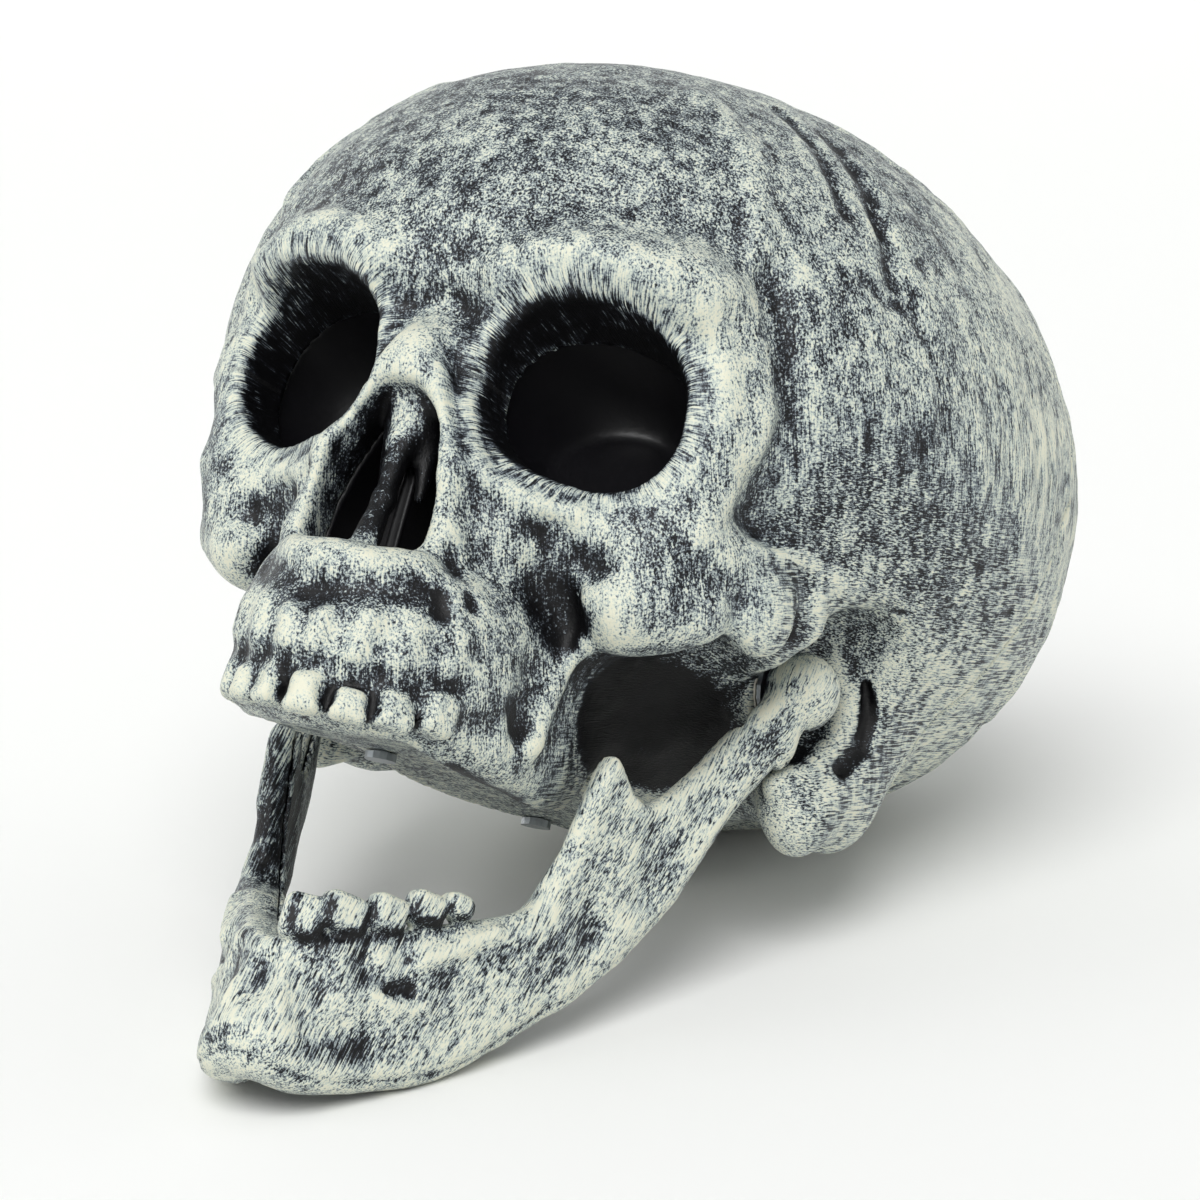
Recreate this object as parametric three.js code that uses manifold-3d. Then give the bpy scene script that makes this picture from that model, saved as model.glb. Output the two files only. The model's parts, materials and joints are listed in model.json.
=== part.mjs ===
// A hollow plastic skull with a jaw that opens and shuts. It lies back on its chin and the back of its head.
// Lengths are millimetres and angles are degrees. In the skull's own frame it looks along -Y, its left side
// is +X, its crown is +Z and zero lies between the ears. The last lines tilt it back and stand it on z = 0.
import * as THREE from "three";
import { mergeVertices } from "three/addons/utils/BufferGeometryUtils.js";
import Module from "manifold-3d";

const wasm = await Module();
wasm.setup();

// Driving dimensions of the whole skull
const wall = 2.2; // plastic of every shell
const clearance = 0.3; // gap between pieces that touch
const overrun = 15; // how far a cutter runs past what it cuts
const leanBack = 36.58; // how far the face looks up when the skull lies on the table
const sides = [
  { name: "left", sign: 1 },
  { name: "right", sign: -1 },
];

// Forms of the head: centre and radii of each rounded mass. A higher square makes the mass boxier upright.
const braincase = { centre: [0, 7.8, 39.9], radii: [83.5, 97.9, 69], square: 2.1 };
const skullBase = { centre: [0, -2, -6], radii: [38, 46, 32], square: 3 };
const palateBlock = { centre: [3, -42, -28], radii: [24, 25, 22], square: 4 };
const earBulge = { centre: [44, 14, -9], radii: [18, 22, 20], square: 2 };
const midface = { centre: [0, -52, -4], radii: [39, 33, 32], square: 2 };
const maxilla = { centre: [0, -63, -38], radii: [28, 37, 18], square: 4 };
const noseRoot = { centre: [0, -76, 20], radii: [9, 15, 16], square: 2 };
const browRidge = { centre: [26, -74, 37], radii: [25, 14, 9], square: 2 };
const orbitRim = { centre: [45.5, -61, 17], radii: [9, 10, 25], square: 2 };
const cheekbone = { centre: [39.5, -57, -7.5], radii: [13, 14, 15], square: 2 };
const cheekArch = { centre: [52, -34, -3], radii: [8, 27, 8.5], square: 2 };
const mastoid = { centre: [53, -1, -27], radii: [7.5, 9.5, 13], hangs: true };
const underCheekHollow = { centre: [47, -37, -34], radii: [21, 20, 17], square: 2 };
const blend = 9; // how widely neighbouring masses run together
const hollowBlend = 5; // how softly a hollow's edge is rounded
const droopShare = 0.07; // how far the lopsided face and base hang on the left for each unit across

// The point inside the head from which its surface is worked out, and the fineness of that surface
const heart = [0, -20, 2];
const outerGrid = { around: 52, down: 32 };
const innerGrid = { around: 32, down: 22 };
const faceCrowdingShare = 0.3; // how much closer together the surface's meridians lie on the face
const marchStep = 3;
const marchHalvings = 12;

// Fineness of the smaller rounded bodies
const ballGrid = { around: 18, down: 12 };
const knobGrid = { around: 14, down: 10 };
const crownGrid = { around: 8, down: 6 };

// Where the rear shell starts, and the lip with which it sits in the front shell
const seamY = 25;
const lipLength = 6;
const lipWall = 1.6;

// Eye sockets and their cups
const socket = { centre: [29.5, -84, 16], radii: [19.5, 36, 19], hangs: true };
const cupWall = 1.8;

// Nasal opening: a pear with a narrow top, and the insert behind it
const nose = { top: 5.5, bottom: -23.5, topHalf: 4.5, lowHalf: 13, spine: 3, depth: 34 };
const noseFrontY = -100;
const septum = { half: 1.6, setBack: 9 };

// Base cover: a flat plate between the side walls that rises towards the back
const plate = { frontY: -66, backY: 30, frontHalf: 15, wideHalf: 22, wideY: -8, thickness: 2.4 };
const plateFront = { y: -51, z: -46.2 }; // one point of its underside
const plateRise = 9.7;
const ledge = { reach: 5, thickness: 2.6 };

// Base screws: where they sit on the plate, and their size
const screw = { shank: 1.5, head: 3, headHeight: 1.4, length: 11, bossWall: 2.4 };
const screwSpots = [
  { sign: 1, inset: 4.5, alongShare: 0.22 },
  { sign: -1, inset: 4.5, alongShare: 0.22 },
  { sign: 1, inset: 4.5, alongShare: 0.9 },
  { sign: -1, inset: 4.5, alongShare: 0.9 },
];

// Jaw joint: its axis runs along X through both knobs of the jaw
const hinge = { y: -12.1, z: -14.2 };
const knob = { outboard: 1.4, radii: [7.4, 6.6, 7.6], flat: 5.6 };
const pin = { radius: 2, seat: 5, tip: 2 };
const bush = { wall: 1.4, flange: 1.8, flangeThickness: 1 };
const washer = { thickness: 0.8, wall: 3.2 };
const clip = { thickness: 1.2, wall: 2.2 };
const boss = { wall: 3, length: 11 };
const jointHollow = { radii: [18, 14, 17], behindBoss: 2.2, play: 1.5 };
const roundSteps = 14;

// Jaw, in the open pose: the middle of its band runs from the chin back to the knobs
const jaw = { halfWidth: 52, length: 81, height: 104, thickness: 13, endAhead: 4.536 };

// Places along the left half of the joint, from the jaw's knob inwards
const knobX = jaw.halfWidth + knob.outboard;
const knobFaceX = knobX - knob.flat;
const washerX = knobFaceX - clearance - washer.thickness;
const flangeX = washerX - clearance - bush.flangeThickness;
const bossFaceX = flangeX - clearance;
const bossEndX = bossFaceX - boss.length;
const clipEndX = bossEndX - clearance;
const clipX = clipEndX - clip.thickness;
const pinEndX = clipX - pin.tip;
const pinHoleX = knobFaceX + pin.seat;
const bushBore = pin.radius + clearance;
const bushOuter = bushBore + bush.wall;
const bossBore = bushOuter + clearance;
const knobRoom = Math.max(knob.radii[1], knob.radii[2], bushOuter + bush.flange) + jointHollow.play;

// Shares of those sizes from the chin back: across, along, depth of the band's top and bottom below the
// joint, and the band's thickness
const jawBandShares = [
  [0, 0, 0.735, 0.975, 0.82],
  [0.087, 0.021, 0.728, 0.99, 0.82],
  [0.173, 0.102, 0.7, 0.98, 0.84],
  [0.285, 0.226, 0.665, 0.94, 0.85],
  [0.385, 0.343, 0.62, 0.892, 0.85],
  [0.463, 0.443, 0.585, 0.826, 0.84],
  [0.519, 0.5, 0.55, 0.782, 0.77],
  [0.569, 0.547, 0.46, 0.741, 0.65],
  [0.613, 0.581, 0.343, 0.712, 0.54],
  [0.642, 0.615, 0.258, 0.684, 0.46],
  [0.667, 0.651, 0.267, 0.649, 0.46],
  [0.696, 0.694, 0.303, 0.608, 0.48],
  [0.725, 0.754, 0.295, 0.554, 0.51],
  [0.779, 0.821, 0.238, 0.47, 0.54],
  [0.837, 0.895, 0.155, 0.351, 0.57],
  [0.913, 0.957, 0.067, 0.243, 0.6],
  [1, 1, 0.01, 0.155, 0.6],
];
const bandLeanShare = 0.184; // how far the band's sides lean forward for each unit that they rise
const leanFullShare = 0.45; // share of the length over which the upright front takes up that lean
const bandLevel = hinge.z - jaw.height; // height at which the band's plan is drawn
const chinY = hinge.y - jaw.endAhead - jaw.length + bandLeanShare * jaw.height;
const bandSteps = 19;
const bandRing = { outer: 12, hollow: 6 };
const bandSquare = 2.6;
const chinBoss = { ahead: 0.9, above: 8.2, radii: [8, 5.6, 7] };
const partingShare = 0.28; // how far the parting line lies inside the middle of the band

// Teeth: a crown's half sizes, and where the crowns stand
const crown = { half: [3.9, 3.4, 5.6], square: 4 };
const upperArch = { radiusX: 26.2, radiusY: 36, centreY: -62.5, level: -46.5 };
const upperTurns = [-72, -55, -38, -21, 1, 20, 36, 52];
const molarTurn = 94;
const molarRise = 2.5;
const lowerToothShares = [0.04, 0.1, 0.16, 0.208, 0.25];
const lowerRise = 4;
const lowerReach = 2.2; // how far the lower crowns stand out from the middle of the band

const shades = {
  painted: { color: 0x9aa19b, roughness: 0.62, metalness: 0 },
  black: { color: 0x17161a, roughness: 0.34, metalness: 0 },
  steel: { color: 0x8d9094, roughness: 0.35, metalness: 0.9 },
  nylon: { color: 0xd8d5cb, roughness: 0.5, metalness: 0 },
};

// Solid from a closed three.js geometry
function solid(geometry) {
  const bare = geometry.index ? geometry.toNonIndexed() : geometry.clone();
  bare.deleteAttribute("normal");
  bare.deleteAttribute("uv");
  const merged = mergeVertices(bare);
  return new wasm.Manifold(
    new wasm.Mesh({
      numProp: 3,
      vertProperties: merged.attributes.position.array,
      triVerts: new Uint32Array(merged.index.array),
    }),
  );
}

// Geometry from a solid, for the scene
function geometryOf(body) {
  const mesh = body.getMesh();
  const geometry = new THREE.BufferGeometry();
  geometry.setAttribute("position", new THREE.BufferAttribute(mesh.vertProperties, 3));
  geometry.setIndex(new THREE.BufferAttribute(mesh.triVerts, 1));
  geometry.computeVertexNormals();
  return geometry;
}

const joined = (bodies) => bodies.reduce((all, next) => all.add(next));
const mirrored = (point, sign) => [sign * point[0], point[1], point[2]];

// Distance from a point to a rounded mass, negative inside it
function massDistance(mass, point, sign = 1) {
  const centre = mirrored(mass.centre, sign);
  const from = point.map((value, i) => value - centre[i]);
  const ratio = from.map((value, i) => Math.abs(value / mass.radii[i]));
  const flat = Math.hypot(ratio[0], ratio[1]);
  const reach = (flat ** mass.square + ratio[2] ** mass.square) ** (1 / mass.square);
  const length = Math.hypot(...from);
  return reach > 0 ? length * (1 - 1 / reach) : -Math.min(...mass.radii);
}

// Union of two distances with a rounded join, and a cut with a rounded edge
function blended(a, b, width) {
  const overlap = Math.max(width - Math.abs(a - b), 0) / width;
  return Math.min(a, b) - (overlap * overlap * width) / 4;
}
const hollowed = (a, b, width) => -blended(-a, b, width);

// Hollow in the side of the head for the jaw's knob, with its floor just behind the boss's face
const jointHollowMass = {
  centre: [bossFaceX - jointHollow.behindBoss + jointHollow.radii[0], hinge.y, hinge.z],
  radii: jointHollow.radii,
  square: 2,
};

// Distance from a point to the outside of the head
function headDistance(point) {
  const sign = point[0] < 0 ? -1 : 1;
  const middle = [skullBase, palateBlock, midface, maxilla, noseRoot];
  const paired = [cheekbone, cheekArch, earBulge];
  const level = [point[0], point[1], point[2] + droopShare * point[0]];
  let distance = massDistance(braincase, point);
  for (const mass of [browRidge, orbitRim])
    distance = blended(distance, massDistance(mass, point, sign), blend);
  for (const mass of middle) distance = blended(distance, massDistance(mass, level), blend);
  for (const mass of paired) distance = blended(distance, massDistance(mass, level, sign), blend);
  distance = hollowed(distance, massDistance(underCheekHollow, level, sign), hollowBlend);
  return hollowed(distance, massDistance(jointHollowMass, point, sign), hollowBlend);
}

// Closed surface at one depth below the head's outside: a sphere whose points move out along their rays
function headBody(depth, grid) {
  const sphere = new THREE.SphereGeometry(1, grid.around, grid.down);
  sphere.rotateX(Math.PI / 2);
  const place = sphere.attributes.position;
  const ray = new THREE.Vector3();
  for (let i = 0; i < place.count; i++) {
    ray.fromBufferAttribute(place, i);
    const turn = Math.atan2(ray.x, -ray.y);
    const level = Math.hypot(ray.x, ray.y);
    const crowded = turn - faceCrowdingShare * Math.sin(turn);
    ray.set(level * Math.sin(crowded), -level * Math.cos(crowded), ray.z);
    const at = (far) => [heart[0] + far * ray.x, heart[1] + far * ray.y, heart[2] + far * ray.z];
    let far = marchStep;
    while (headDistance(at(far)) < -depth) far += marchStep;
    let near = far - marchStep;
    for (let k = 0; k < marchHalvings; k++) {
      const mid = (near + far) / 2;
      if (headDistance(at(mid)) < -depth) near = mid;
      else far = mid;
    }
    place.setXYZ(i, ...at(near));
  }
  return solid(sphere);
}

function ellipsoid({ centre, radii, hangs }, sign = 1, grow = 0, grid = ballGrid) {
  const ball = new THREE.SphereGeometry(1, grid.around, grid.down);
  ball.scale(...radii.map((radius) => radius + grow));
  ball.translate(...mirrored(centre, sign));
  if (hangs) ball.translate(0, 0, -droopShare * sign * centre[0]);
  return solid(ball);
}

// Box between two corners
function block(low, high) {
  const size = high.map((value, i) => value - low[i]);
  const box = new THREE.BoxGeometry(...size);
  box.translate(...low.map((value, i) => value + size[i] / 2));
  return solid(box);
}

// Round bar along X from one place to another, on the jaw's axis
function axleBar(radius, fromX, toX) {
  const bar = new THREE.CylinderGeometry(radius, radius, Math.abs(toX - fromX), roundSteps);
  bar.rotateZ(Math.PI / 2);
  bar.translate((fromX + toX) / 2, hinge.y, hinge.z);
  return solid(bar);
}

// Flat shape pulled up along Z from one level to another
function pulledUp(points, low, high) {
  const pulled = new THREE.ExtrudeGeometry(new THREE.Shape(points), {
    depth: high - low,
    bevelEnabled: false,
  });
  pulled.translate(0, 0, low);
  return pulled;
}

const prism = (points, low, high) => solid(pulledUp(points, low, high));

// Base cover's own frame: x across, y along the plate from its front, z up from its underside
const plateFrame = new THREE.Matrix4()
  .makeTranslation(0, plateFront.y, plateFront.z)
  .multiply(new THREE.Matrix4().makeRotationX(THREE.MathUtils.degToRad(plateRise)));
const onPlate = (body) => body.transform(plateFrame.elements);

// Closed outline from the half that runs from one point on the middle line to another
function bothHalves(half) {
  const other = half.slice(1, -1).reverse();
  return [...half, ...other.map((point) => new THREE.Vector2(-point.x, point.y))];
}

// Outline of the plate, widest beside the mastoids, grown or shrunk by a margin
function plateOutline(margin) {
  const front = plate.frontY - plateFront.y - margin;
  const back = plate.backY - plateFront.y + margin;
  const wide = plate.wideY - plateFront.y;
  const frontHalf = plate.frontHalf + margin;
  const wideHalf = plate.wideHalf + margin;
  const path = new THREE.Path();
  path.moveTo(0, front);
  path.bezierCurveTo(frontHalf, front, frontHalf, front, frontHalf, front + frontHalf);
  path.bezierCurveTo(frontHalf, wide / 2, wideHalf, wide / 2, wideHalf, wide);
  path.bezierCurveTo(wideHalf, back - wideHalf / 2, wideHalf / 2, back, 0, back);
  return bothHalves(path.getPoints(4));
}

// Loft of the jaw's band, thinner by a margin all round: a cylinder whose points move onto the band
function jawLoft(margin, ring) {
  const tube = new THREE.CylinderGeometry(1, 1, 1, ring, 2 * bandSteps);
  const place = tube.attributes.position;
  for (let i = 0; i < place.count; i++) {
    const share = 2 * place.getY(i);
    const at = bandAt(share);
    const width = Math.max(at.thickness / 2 - margin, clearance);
    const height = Math.max((at.top - at.bottom) / 2 - margin, clearance);
    const sideways = squared(place.getX(i)) * width;
    const upwards = squared(place.getZ(i)) * height;
    const z = (at.top + at.bottom) / 2 + upwards;
    place.setXYZ(i, at.x + at.out[0] * sideways, leaned(at.y + at.out[1] * sideways, z), z);
  }
  return solid(tube);
}

// A round section's coordinate pushed towards a square one
function squared(value) {
  return Math.sign(value) * Math.abs(value) ** (2 / bandSquare);
}

// Place on the jaw for a place on its plan at some height
function leaned(y, z) {
  const taken = THREE.MathUtils.clamp((y - chinY) / (leanFullShare * jaw.length), 0, 1);
  return y - bandLeanShare * taken * (z - bandLevel);
}

// Middle of the band at a share from -1, the right end, over 0, the chin, to 1, the left end
function bandPoint(share) {
  const last = jawBandShares.length - 1;
  const row = Math.min(Math.abs(share), 1) * last;
  const low = Math.min(Math.floor(row), last - 1);
  const mix = row - low;
  return jawBandShares[low].map((value, i) => value * (1 - mix) + jawBandShares[low + 1][i] * mix);
}

function bandAt(share) {
  const [across, along, top, bottom, thick] = bandPoint(share);
  const side = share < 0 ? -1 : 1;
  const before = bandPlan(share - 1 / bandSteps);
  const after = bandPlan(share + 1 / bandSteps);
  const run = [after[0] - before[0], after[1] - before[1]];
  const length = Math.hypot(...run);
  return {
    x: side * across * jaw.halfWidth,
    y: chinY + along * jaw.length,
    top: hinge.z - top * jaw.height,
    bottom: hinge.z - bottom * jaw.height,
    thickness: thick * jaw.thickness,
    out: [run[1] / length, -run[0] / length],
  };
}

function bandPlan(share) {
  const [across, along] = bandPoint(share);
  return [Math.sign(share) * across * jaw.halfWidth, chinY + along * jaw.length];
}

// Solids of the head's skin: its outside, its hollow, and its outside less the gap
const outer = headBody(0, outerGrid);
const hollow = headBody(wall, innerGrid);
const fitted = headBody(clearance, innerGrid);

// Halves of space that split the head at its seam
const beyond = 2 * braincase.radii[1];
const inFront = block([-beyond, -beyond, -beyond], [beyond, seamY - clearance / 2, beyond]);
const behind = block([-beyond, seamY + clearance / 2, -beyond], [beyond, beyond, beyond]);

// Pear of the nasal opening, grown or shrunk by a margin, as a bar along Y that ends at backY
function noseBar(margin, backY, length) {
  const top = nose.top + margin;
  const bottom = nose.bottom - margin;
  const topHalf = nose.topHalf + margin;
  const lowHalf = nose.lowHalf + margin;
  const path = new THREE.Path();
  path.moveTo(0, top);
  path.bezierCurveTo(topHalf, top, topHalf, top - topHalf, topHalf, top - topHalf);
  path.bezierCurveTo(lowHalf, bottom / 2, lowHalf, bottom / 2, lowHalf, bottom + lowHalf / 2);
  path.bezierCurveTo(lowHalf, bottom, lowHalf / 2, bottom, 0, bottom + nose.spine);
  const bar = new THREE.ExtrudeGeometry(new THREE.Shape(bothHalves(path.getPoints(4))), {
    depth: length,
    bevelEnabled: false,
  });
  bar.rotateX(Math.PI / 2);
  bar.translate(0, backY, 0);
  return solid(bar);
}

// Round peg upright on the plate, from one level to another
function plateRound(radius, spot, low, high) {
  const peg = new THREE.CylinderGeometry(radius, radius, high - low, roundSteps);
  peg.rotateX(Math.PI / 2);
  peg.translate(spot.x, spot.y, (low + high) / 2);
  return onPlate(solid(peg));
}

// Where each base screw stands, measured in from the plate's edge
function screwPlaces() {
  const edge = plateOutline(0).filter((point) => point.x >= 0);
  const length = plate.backY - plate.frontY;
  return screwSpots.map(({ sign, inset, alongShare }) => {
    const y = plate.frontY - plateFront.y + alongShare * length;
    const next = edge.findIndex((point) => point.y >= y);
    const mix = (y - edge[next - 1].y) / (edge[next].y - edge[next - 1].y);
    const half = edge[next - 1].x * (1 - mix) + edge[next].x * mix;
    return { x: sign * (half - inset), y };
  });
}

// Crown of a tooth, standing at a point with its face turned outwards
function toothAt(point, turn) {
  const ball = new THREE.SphereGeometry(1, crownGrid.around, crownGrid.down);
  const place = ball.attributes.position;
  for (let i = 0; i < place.count; i++) {
    const at = [place.getX(i), place.getY(i), place.getZ(i)];
    const boxy = at.map((value) => Math.sign(value) * Math.abs(value) ** (2 / crown.square));
    place.setXYZ(i, ...boxy.map((value, k) => value * crown.half[k]));
  }
  ball.rotateZ(turn);
  ball.translate(...point);
  return solid(ball);
}

function upperCrown(degrees, rise) {
  const turn = THREE.MathUtils.degToRad(degrees);
  const x = upperArch.radiusX * Math.sin(turn);
  const y = upperArch.centreY - upperArch.radiusY * Math.cos(turn);
  const facing = Math.atan2(upperArch.radiusY * Math.sin(turn), upperArch.radiusX * Math.cos(turn));
  return toothAt([x, y, upperArch.level + rise - droopShare * x], facing);
}

function upperCrowns() {
  const molars = sides.map(({ sign }) => upperCrown(sign * molarTurn, molarRise));
  return [...upperTurns.map((degrees) => upperCrown(degrees, 0)), ...molars];
}

function lowerCrowns() {
  return lowerToothShares.map((share) => {
    const at = bandAt(share);
    const z = at.top + lowerRise - crown.half[2] / 2;
    const [x, y] = [at.x + at.out[0] * lowerReach, at.y + at.out[1] * lowerReach];
    return toothAt([x, leaned(y, z), z], Math.atan2(at.out[1], at.out[0]) + Math.PI / 2);
  });
}

const places = screwPlaces();
const plateRoof = plate.thickness + clearance;
const ledgeRoof = plateRoof + ledge.thickness;

// Wall and ledge around the base cover, and the bosses that its screws bite into
function baseSeat() {
  const rim = prism(plateOutline(clearance + wall), -overrun, ledgeRoof);
  const space = prism(plateOutline(clearance), -2 * overrun, plateRoof);
  const opening = prism(plateOutline(-ledge.reach), -2 * overrun, 2 * overrun);
  const ring = onPlate(rim.subtract(space).subtract(opening));
  const bosses = places.map((spot) => {
    const radius = screw.shank + clearance + screw.bossWall;
    return plateRound(radius, spot, plateRoof, screw.length);
  });
  return joined([ring, ...bosses]).intersect(outer);
}

function jointBosses() {
  return sides.map(({ sign }) =>
    axleBar(bossBore + boss.wall, sign * bossEndX, sign * bossFaceX).subtract(
      axleBar(bossBore, sign * (bossEndX - overrun), sign * (bossFaceX + overrun)),
    ),
  );
}

// Skin of the head with everything that is moulded on it and cut out of it, before it is split
function headSkin() {
  const plateSpace = onPlate(prism(plateOutline(clearance), -2 * overrun, plateRoof));
  const plateOpening = onPlate(prism(plateOutline(-ledge.reach), -2 * overrun, overrun));
  const bores = sides.map(({ sign }) =>
    axleBar(bossBore, sign * (bossEndX - overrun), sign * (bossFaceX + overrun)),
  );
  const screwBores = places.map((spot) =>
    plateRound(screw.shank + clearance, spot, 0, screw.length - wall),
  );
  const openings = sides.map(({ sign }) => ellipsoid(socket, sign));
  const rooms = sides.map(({ sign }) => axleBar(knobRoom, sign * bossFaceX, sign * (bossFaceX + beyond)));
  const clipRooms = sides.map(({ sign }) =>
    axleBar(bushBore + clip.wall + clearance, sign * (pinEndX - clearance), sign * clipEndX),
  );
  const noseHole = noseBar(clearance, noseFrontY + nose.depth + clearance, nose.depth + overrun);
  return outer
    .add(joined(sides.map(({ sign }) => ellipsoid(mastoid, sign))))
    .subtract(hollow)
    .subtract(plateSpace)
    .subtract(plateOpening)
    .add(joined([baseSeat(), ...jointBosses()]))
    .subtract(joined([plateSpace, ...bores, ...screwBores, ...openings, ...rooms, ...clipRooms, noseHole]));
}

const skin = headSkin();
const lipOuter = headBody(wall + clearance, innerGrid);
const lipInner = headBody(wall + clearance + lipWall, innerGrid);
const collarOuter = headBody(wall / 2, innerGrid);

// Lip of the rear shell, which slides into the front shell
function rearLip() {
  const zone = block([-beyond, seamY - lipLength, -beyond], [beyond, seamY + lipLength / 2, beyond]);
  const collar = collarOuter.subtract(lipInner).intersect(behind);
  const clearOfBase = onPlate(prism(plateOutline(2 * wall), -2 * overrun, ledgeRoof + clearance));
  return lipOuter.subtract(lipInner).add(collar).intersect(zone).subtract(clearOfBase);
}

// Largest of the bodies that a cut leaves
function mainBody(body) {
  return body.decompose().sort((a, b) => b.volume() - a.volume())[0];
}

const frontShell = mainBody(skin.intersect(inFront).add(joined(upperCrowns())));
const rearShell = mainBody(skin.intersect(behind).add(rearLip()));

const baseCover = onPlate(prism(plateOutline(0), 0, plate.thickness))
  .intersect(fitted)
  .subtract(joined(places.map((spot) => plateRound(screw.shank + clearance, spot, -overrun, overrun))));

function eyeCup(sign) {
  const cup = ellipsoid(socket, sign, -clearance).subtract(
    ellipsoid(socket, sign, -clearance - cupWall),
  );
  return mainBody(cup.intersect(fitted));
}

function noseInsert() {
  const backY = noseFrontY + nose.depth;
  const cup = noseBar(0, backY, nose.depth + overrun).subtract(
    noseBar(-cupWall, backY - cupWall, nose.depth + overrun),
  );
  const ridge = block(
    [-septum.half, noseFrontY + septum.setBack, nose.bottom],
    [septum.half, backY - cupWall / 2, nose.top],
  ).intersect(noseBar(-cupWall / 2, backY, nose.depth));
  return mainBody(cup.add(ridge).intersect(fitted));
}

function baseScrew(spot) {
  const seat = -clearance;
  const head = plateRound(screw.head, spot, seat - screw.headHeight, seat);
  return head.add(plateRound(screw.shank, spot, seat - screw.headHeight / 2, screw.length - 2 * wall));
}

// Inside of the jaw's parting line, shrunk or grown by a margin
function insideParting(margin) {
  const shares = Array.from({ length: 2 * bandSteps + 1 }, (_, i) => i / bandSteps - 1);
  const line = shares.map((share) => {
    const at = bandAt(share);
    const inset = partingShare * at.thickness - margin;
    return new THREE.Vector2(at.x - at.out[0] * inset, at.y - at.out[1] * inset);
  });
  const [first, last] = [line[0], line[line.length - 1]];
  const backY = chinY + jaw.length + overrun;
  const outline = [...line, new THREE.Vector2(last.x, backY), new THREE.Vector2(first.x, backY)];
  const upright = pulledUp(outline, hinge.z - jaw.height - overrun, hinge.z + overrun);
  const place = upright.attributes.position;
  for (let i = 0; i < place.count; i++) place.setY(i, leaned(place.getY(i), place.getZ(i)));
  return solid(upright);
}

const knobs = sides.map(({ sign }) =>
  ellipsoid({ centre: [knobX, hinge.y, hinge.z], radii: knob.radii }, sign, 0, knobGrid),
);
const aroundKnobs = sides.map(({ sign }) =>
  ellipsoid({ centre: [knobX, hinge.y, hinge.z], radii: knob.radii }, sign, clearance, knobGrid),
);
const inwardOfKnobs = sides.map(({ sign }) =>
  axleBar(2 * knob.radii[2], sign * (knobFaceX - overrun), sign * knobFaceX),
);
const pinHoles = sides.map(({ sign }) =>
  axleBar(bushBore, sign * (knobFaceX - overrun), sign * (pinHoleX + clearance)),
);

const bandHollow = jawLoft(wall, bandRing.hollow);
const chin = { centre: [0, chinY - chinBoss.ahead, bandLevel + chinBoss.above], radii: chinBoss.radii };
const bandShell = jawLoft(0, bandRing.outer).add(ellipsoid(chin, 1, 0, knobGrid)).subtract(bandHollow);

const outerJaw = mainBody(
  bandShell
    .subtract(insideParting(clearance / 2))
    .add(joined(lowerCrowns()).subtract(insideParting(clearance / 2)))
    .add(joined(knobs))
    .subtract(joined([...inwardOfKnobs, ...pinHoles])),
);
const innerJaw = mainBody(
  bandShell
    .intersect(insideParting(-clearance / 2))
    .subtract(joined([...aroundKnobs, ...inwardOfKnobs])),
);

const pieces = [];
function piece(name, body, shade) {
  const mesh = new THREE.Mesh(geometryOf(body), new THREE.MeshStandardMaterial(shades[shade]));
  mesh.name = name;
  pieces.push(mesh);
}

piece("front_shell", frontShell, "painted");
piece("rear_shell", rearShell, "painted");
piece("base_cover", baseCover, "painted");
piece("nose_insert", noseInsert(), "black");
piece("mandible_outer_shell", outerJaw, "painted");
piece("mandible_inner_shell", innerJaw, "painted");
places.forEach((spot, i) => piece(`base_screw_${i + 1}`, baseScrew(spot), "steel"));
for (const { name, sign } of sides) {
  const ring = (radius, bore, fromX, toX) =>
    axleBar(radius, sign * fromX, sign * toX).subtract(
      axleBar(bore, sign * (fromX - overrun), sign * (toX + overrun)),
    );
  piece(`${name}_eye_cup`, eyeCup(sign), "black");
  const tube = ring(bushOuter, bushBore, bossEndX, flangeX + bush.flangeThickness / 2);
  const flange = ring(bushOuter + bush.flange, bushBore, flangeX, flangeX + bush.flangeThickness);
  piece(`${name}_pivot_bush`, tube.add(flange), "nylon");
  piece(`${name}_pivot_pin`, axleBar(pin.radius, sign * pinEndX, sign * pinHoleX), "steel");
  const washerRing = ring(bushBore + washer.wall, bushBore, washerX, washerX + washer.thickness);
  piece(`${name}_friction_washer`, washerRing, "steel");
  piece(`${name}_pin_clip`, ring(bushBore + clip.wall, bushBore, clipX, clipX + clip.thickness), "steel");
}

// The skull leans back, its lowest point stands on zero and zero lies under the middle of its box
const skull = new THREE.Group();
skull.add(...pieces);
skull.rotation.x = -THREE.MathUtils.degToRad(leanBack);
const part = new THREE.Group();
part.add(skull);
part.updateMatrixWorld(true);
const box = new THREE.Box3().setFromObject(part, true);
skull.position.set(0, -(box.min.y + box.max.y) / 2, -box.min.z);

export default part;
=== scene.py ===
import json
import math

import bpy
import numpy as np
from mathutils import Matrix, Vector


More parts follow.
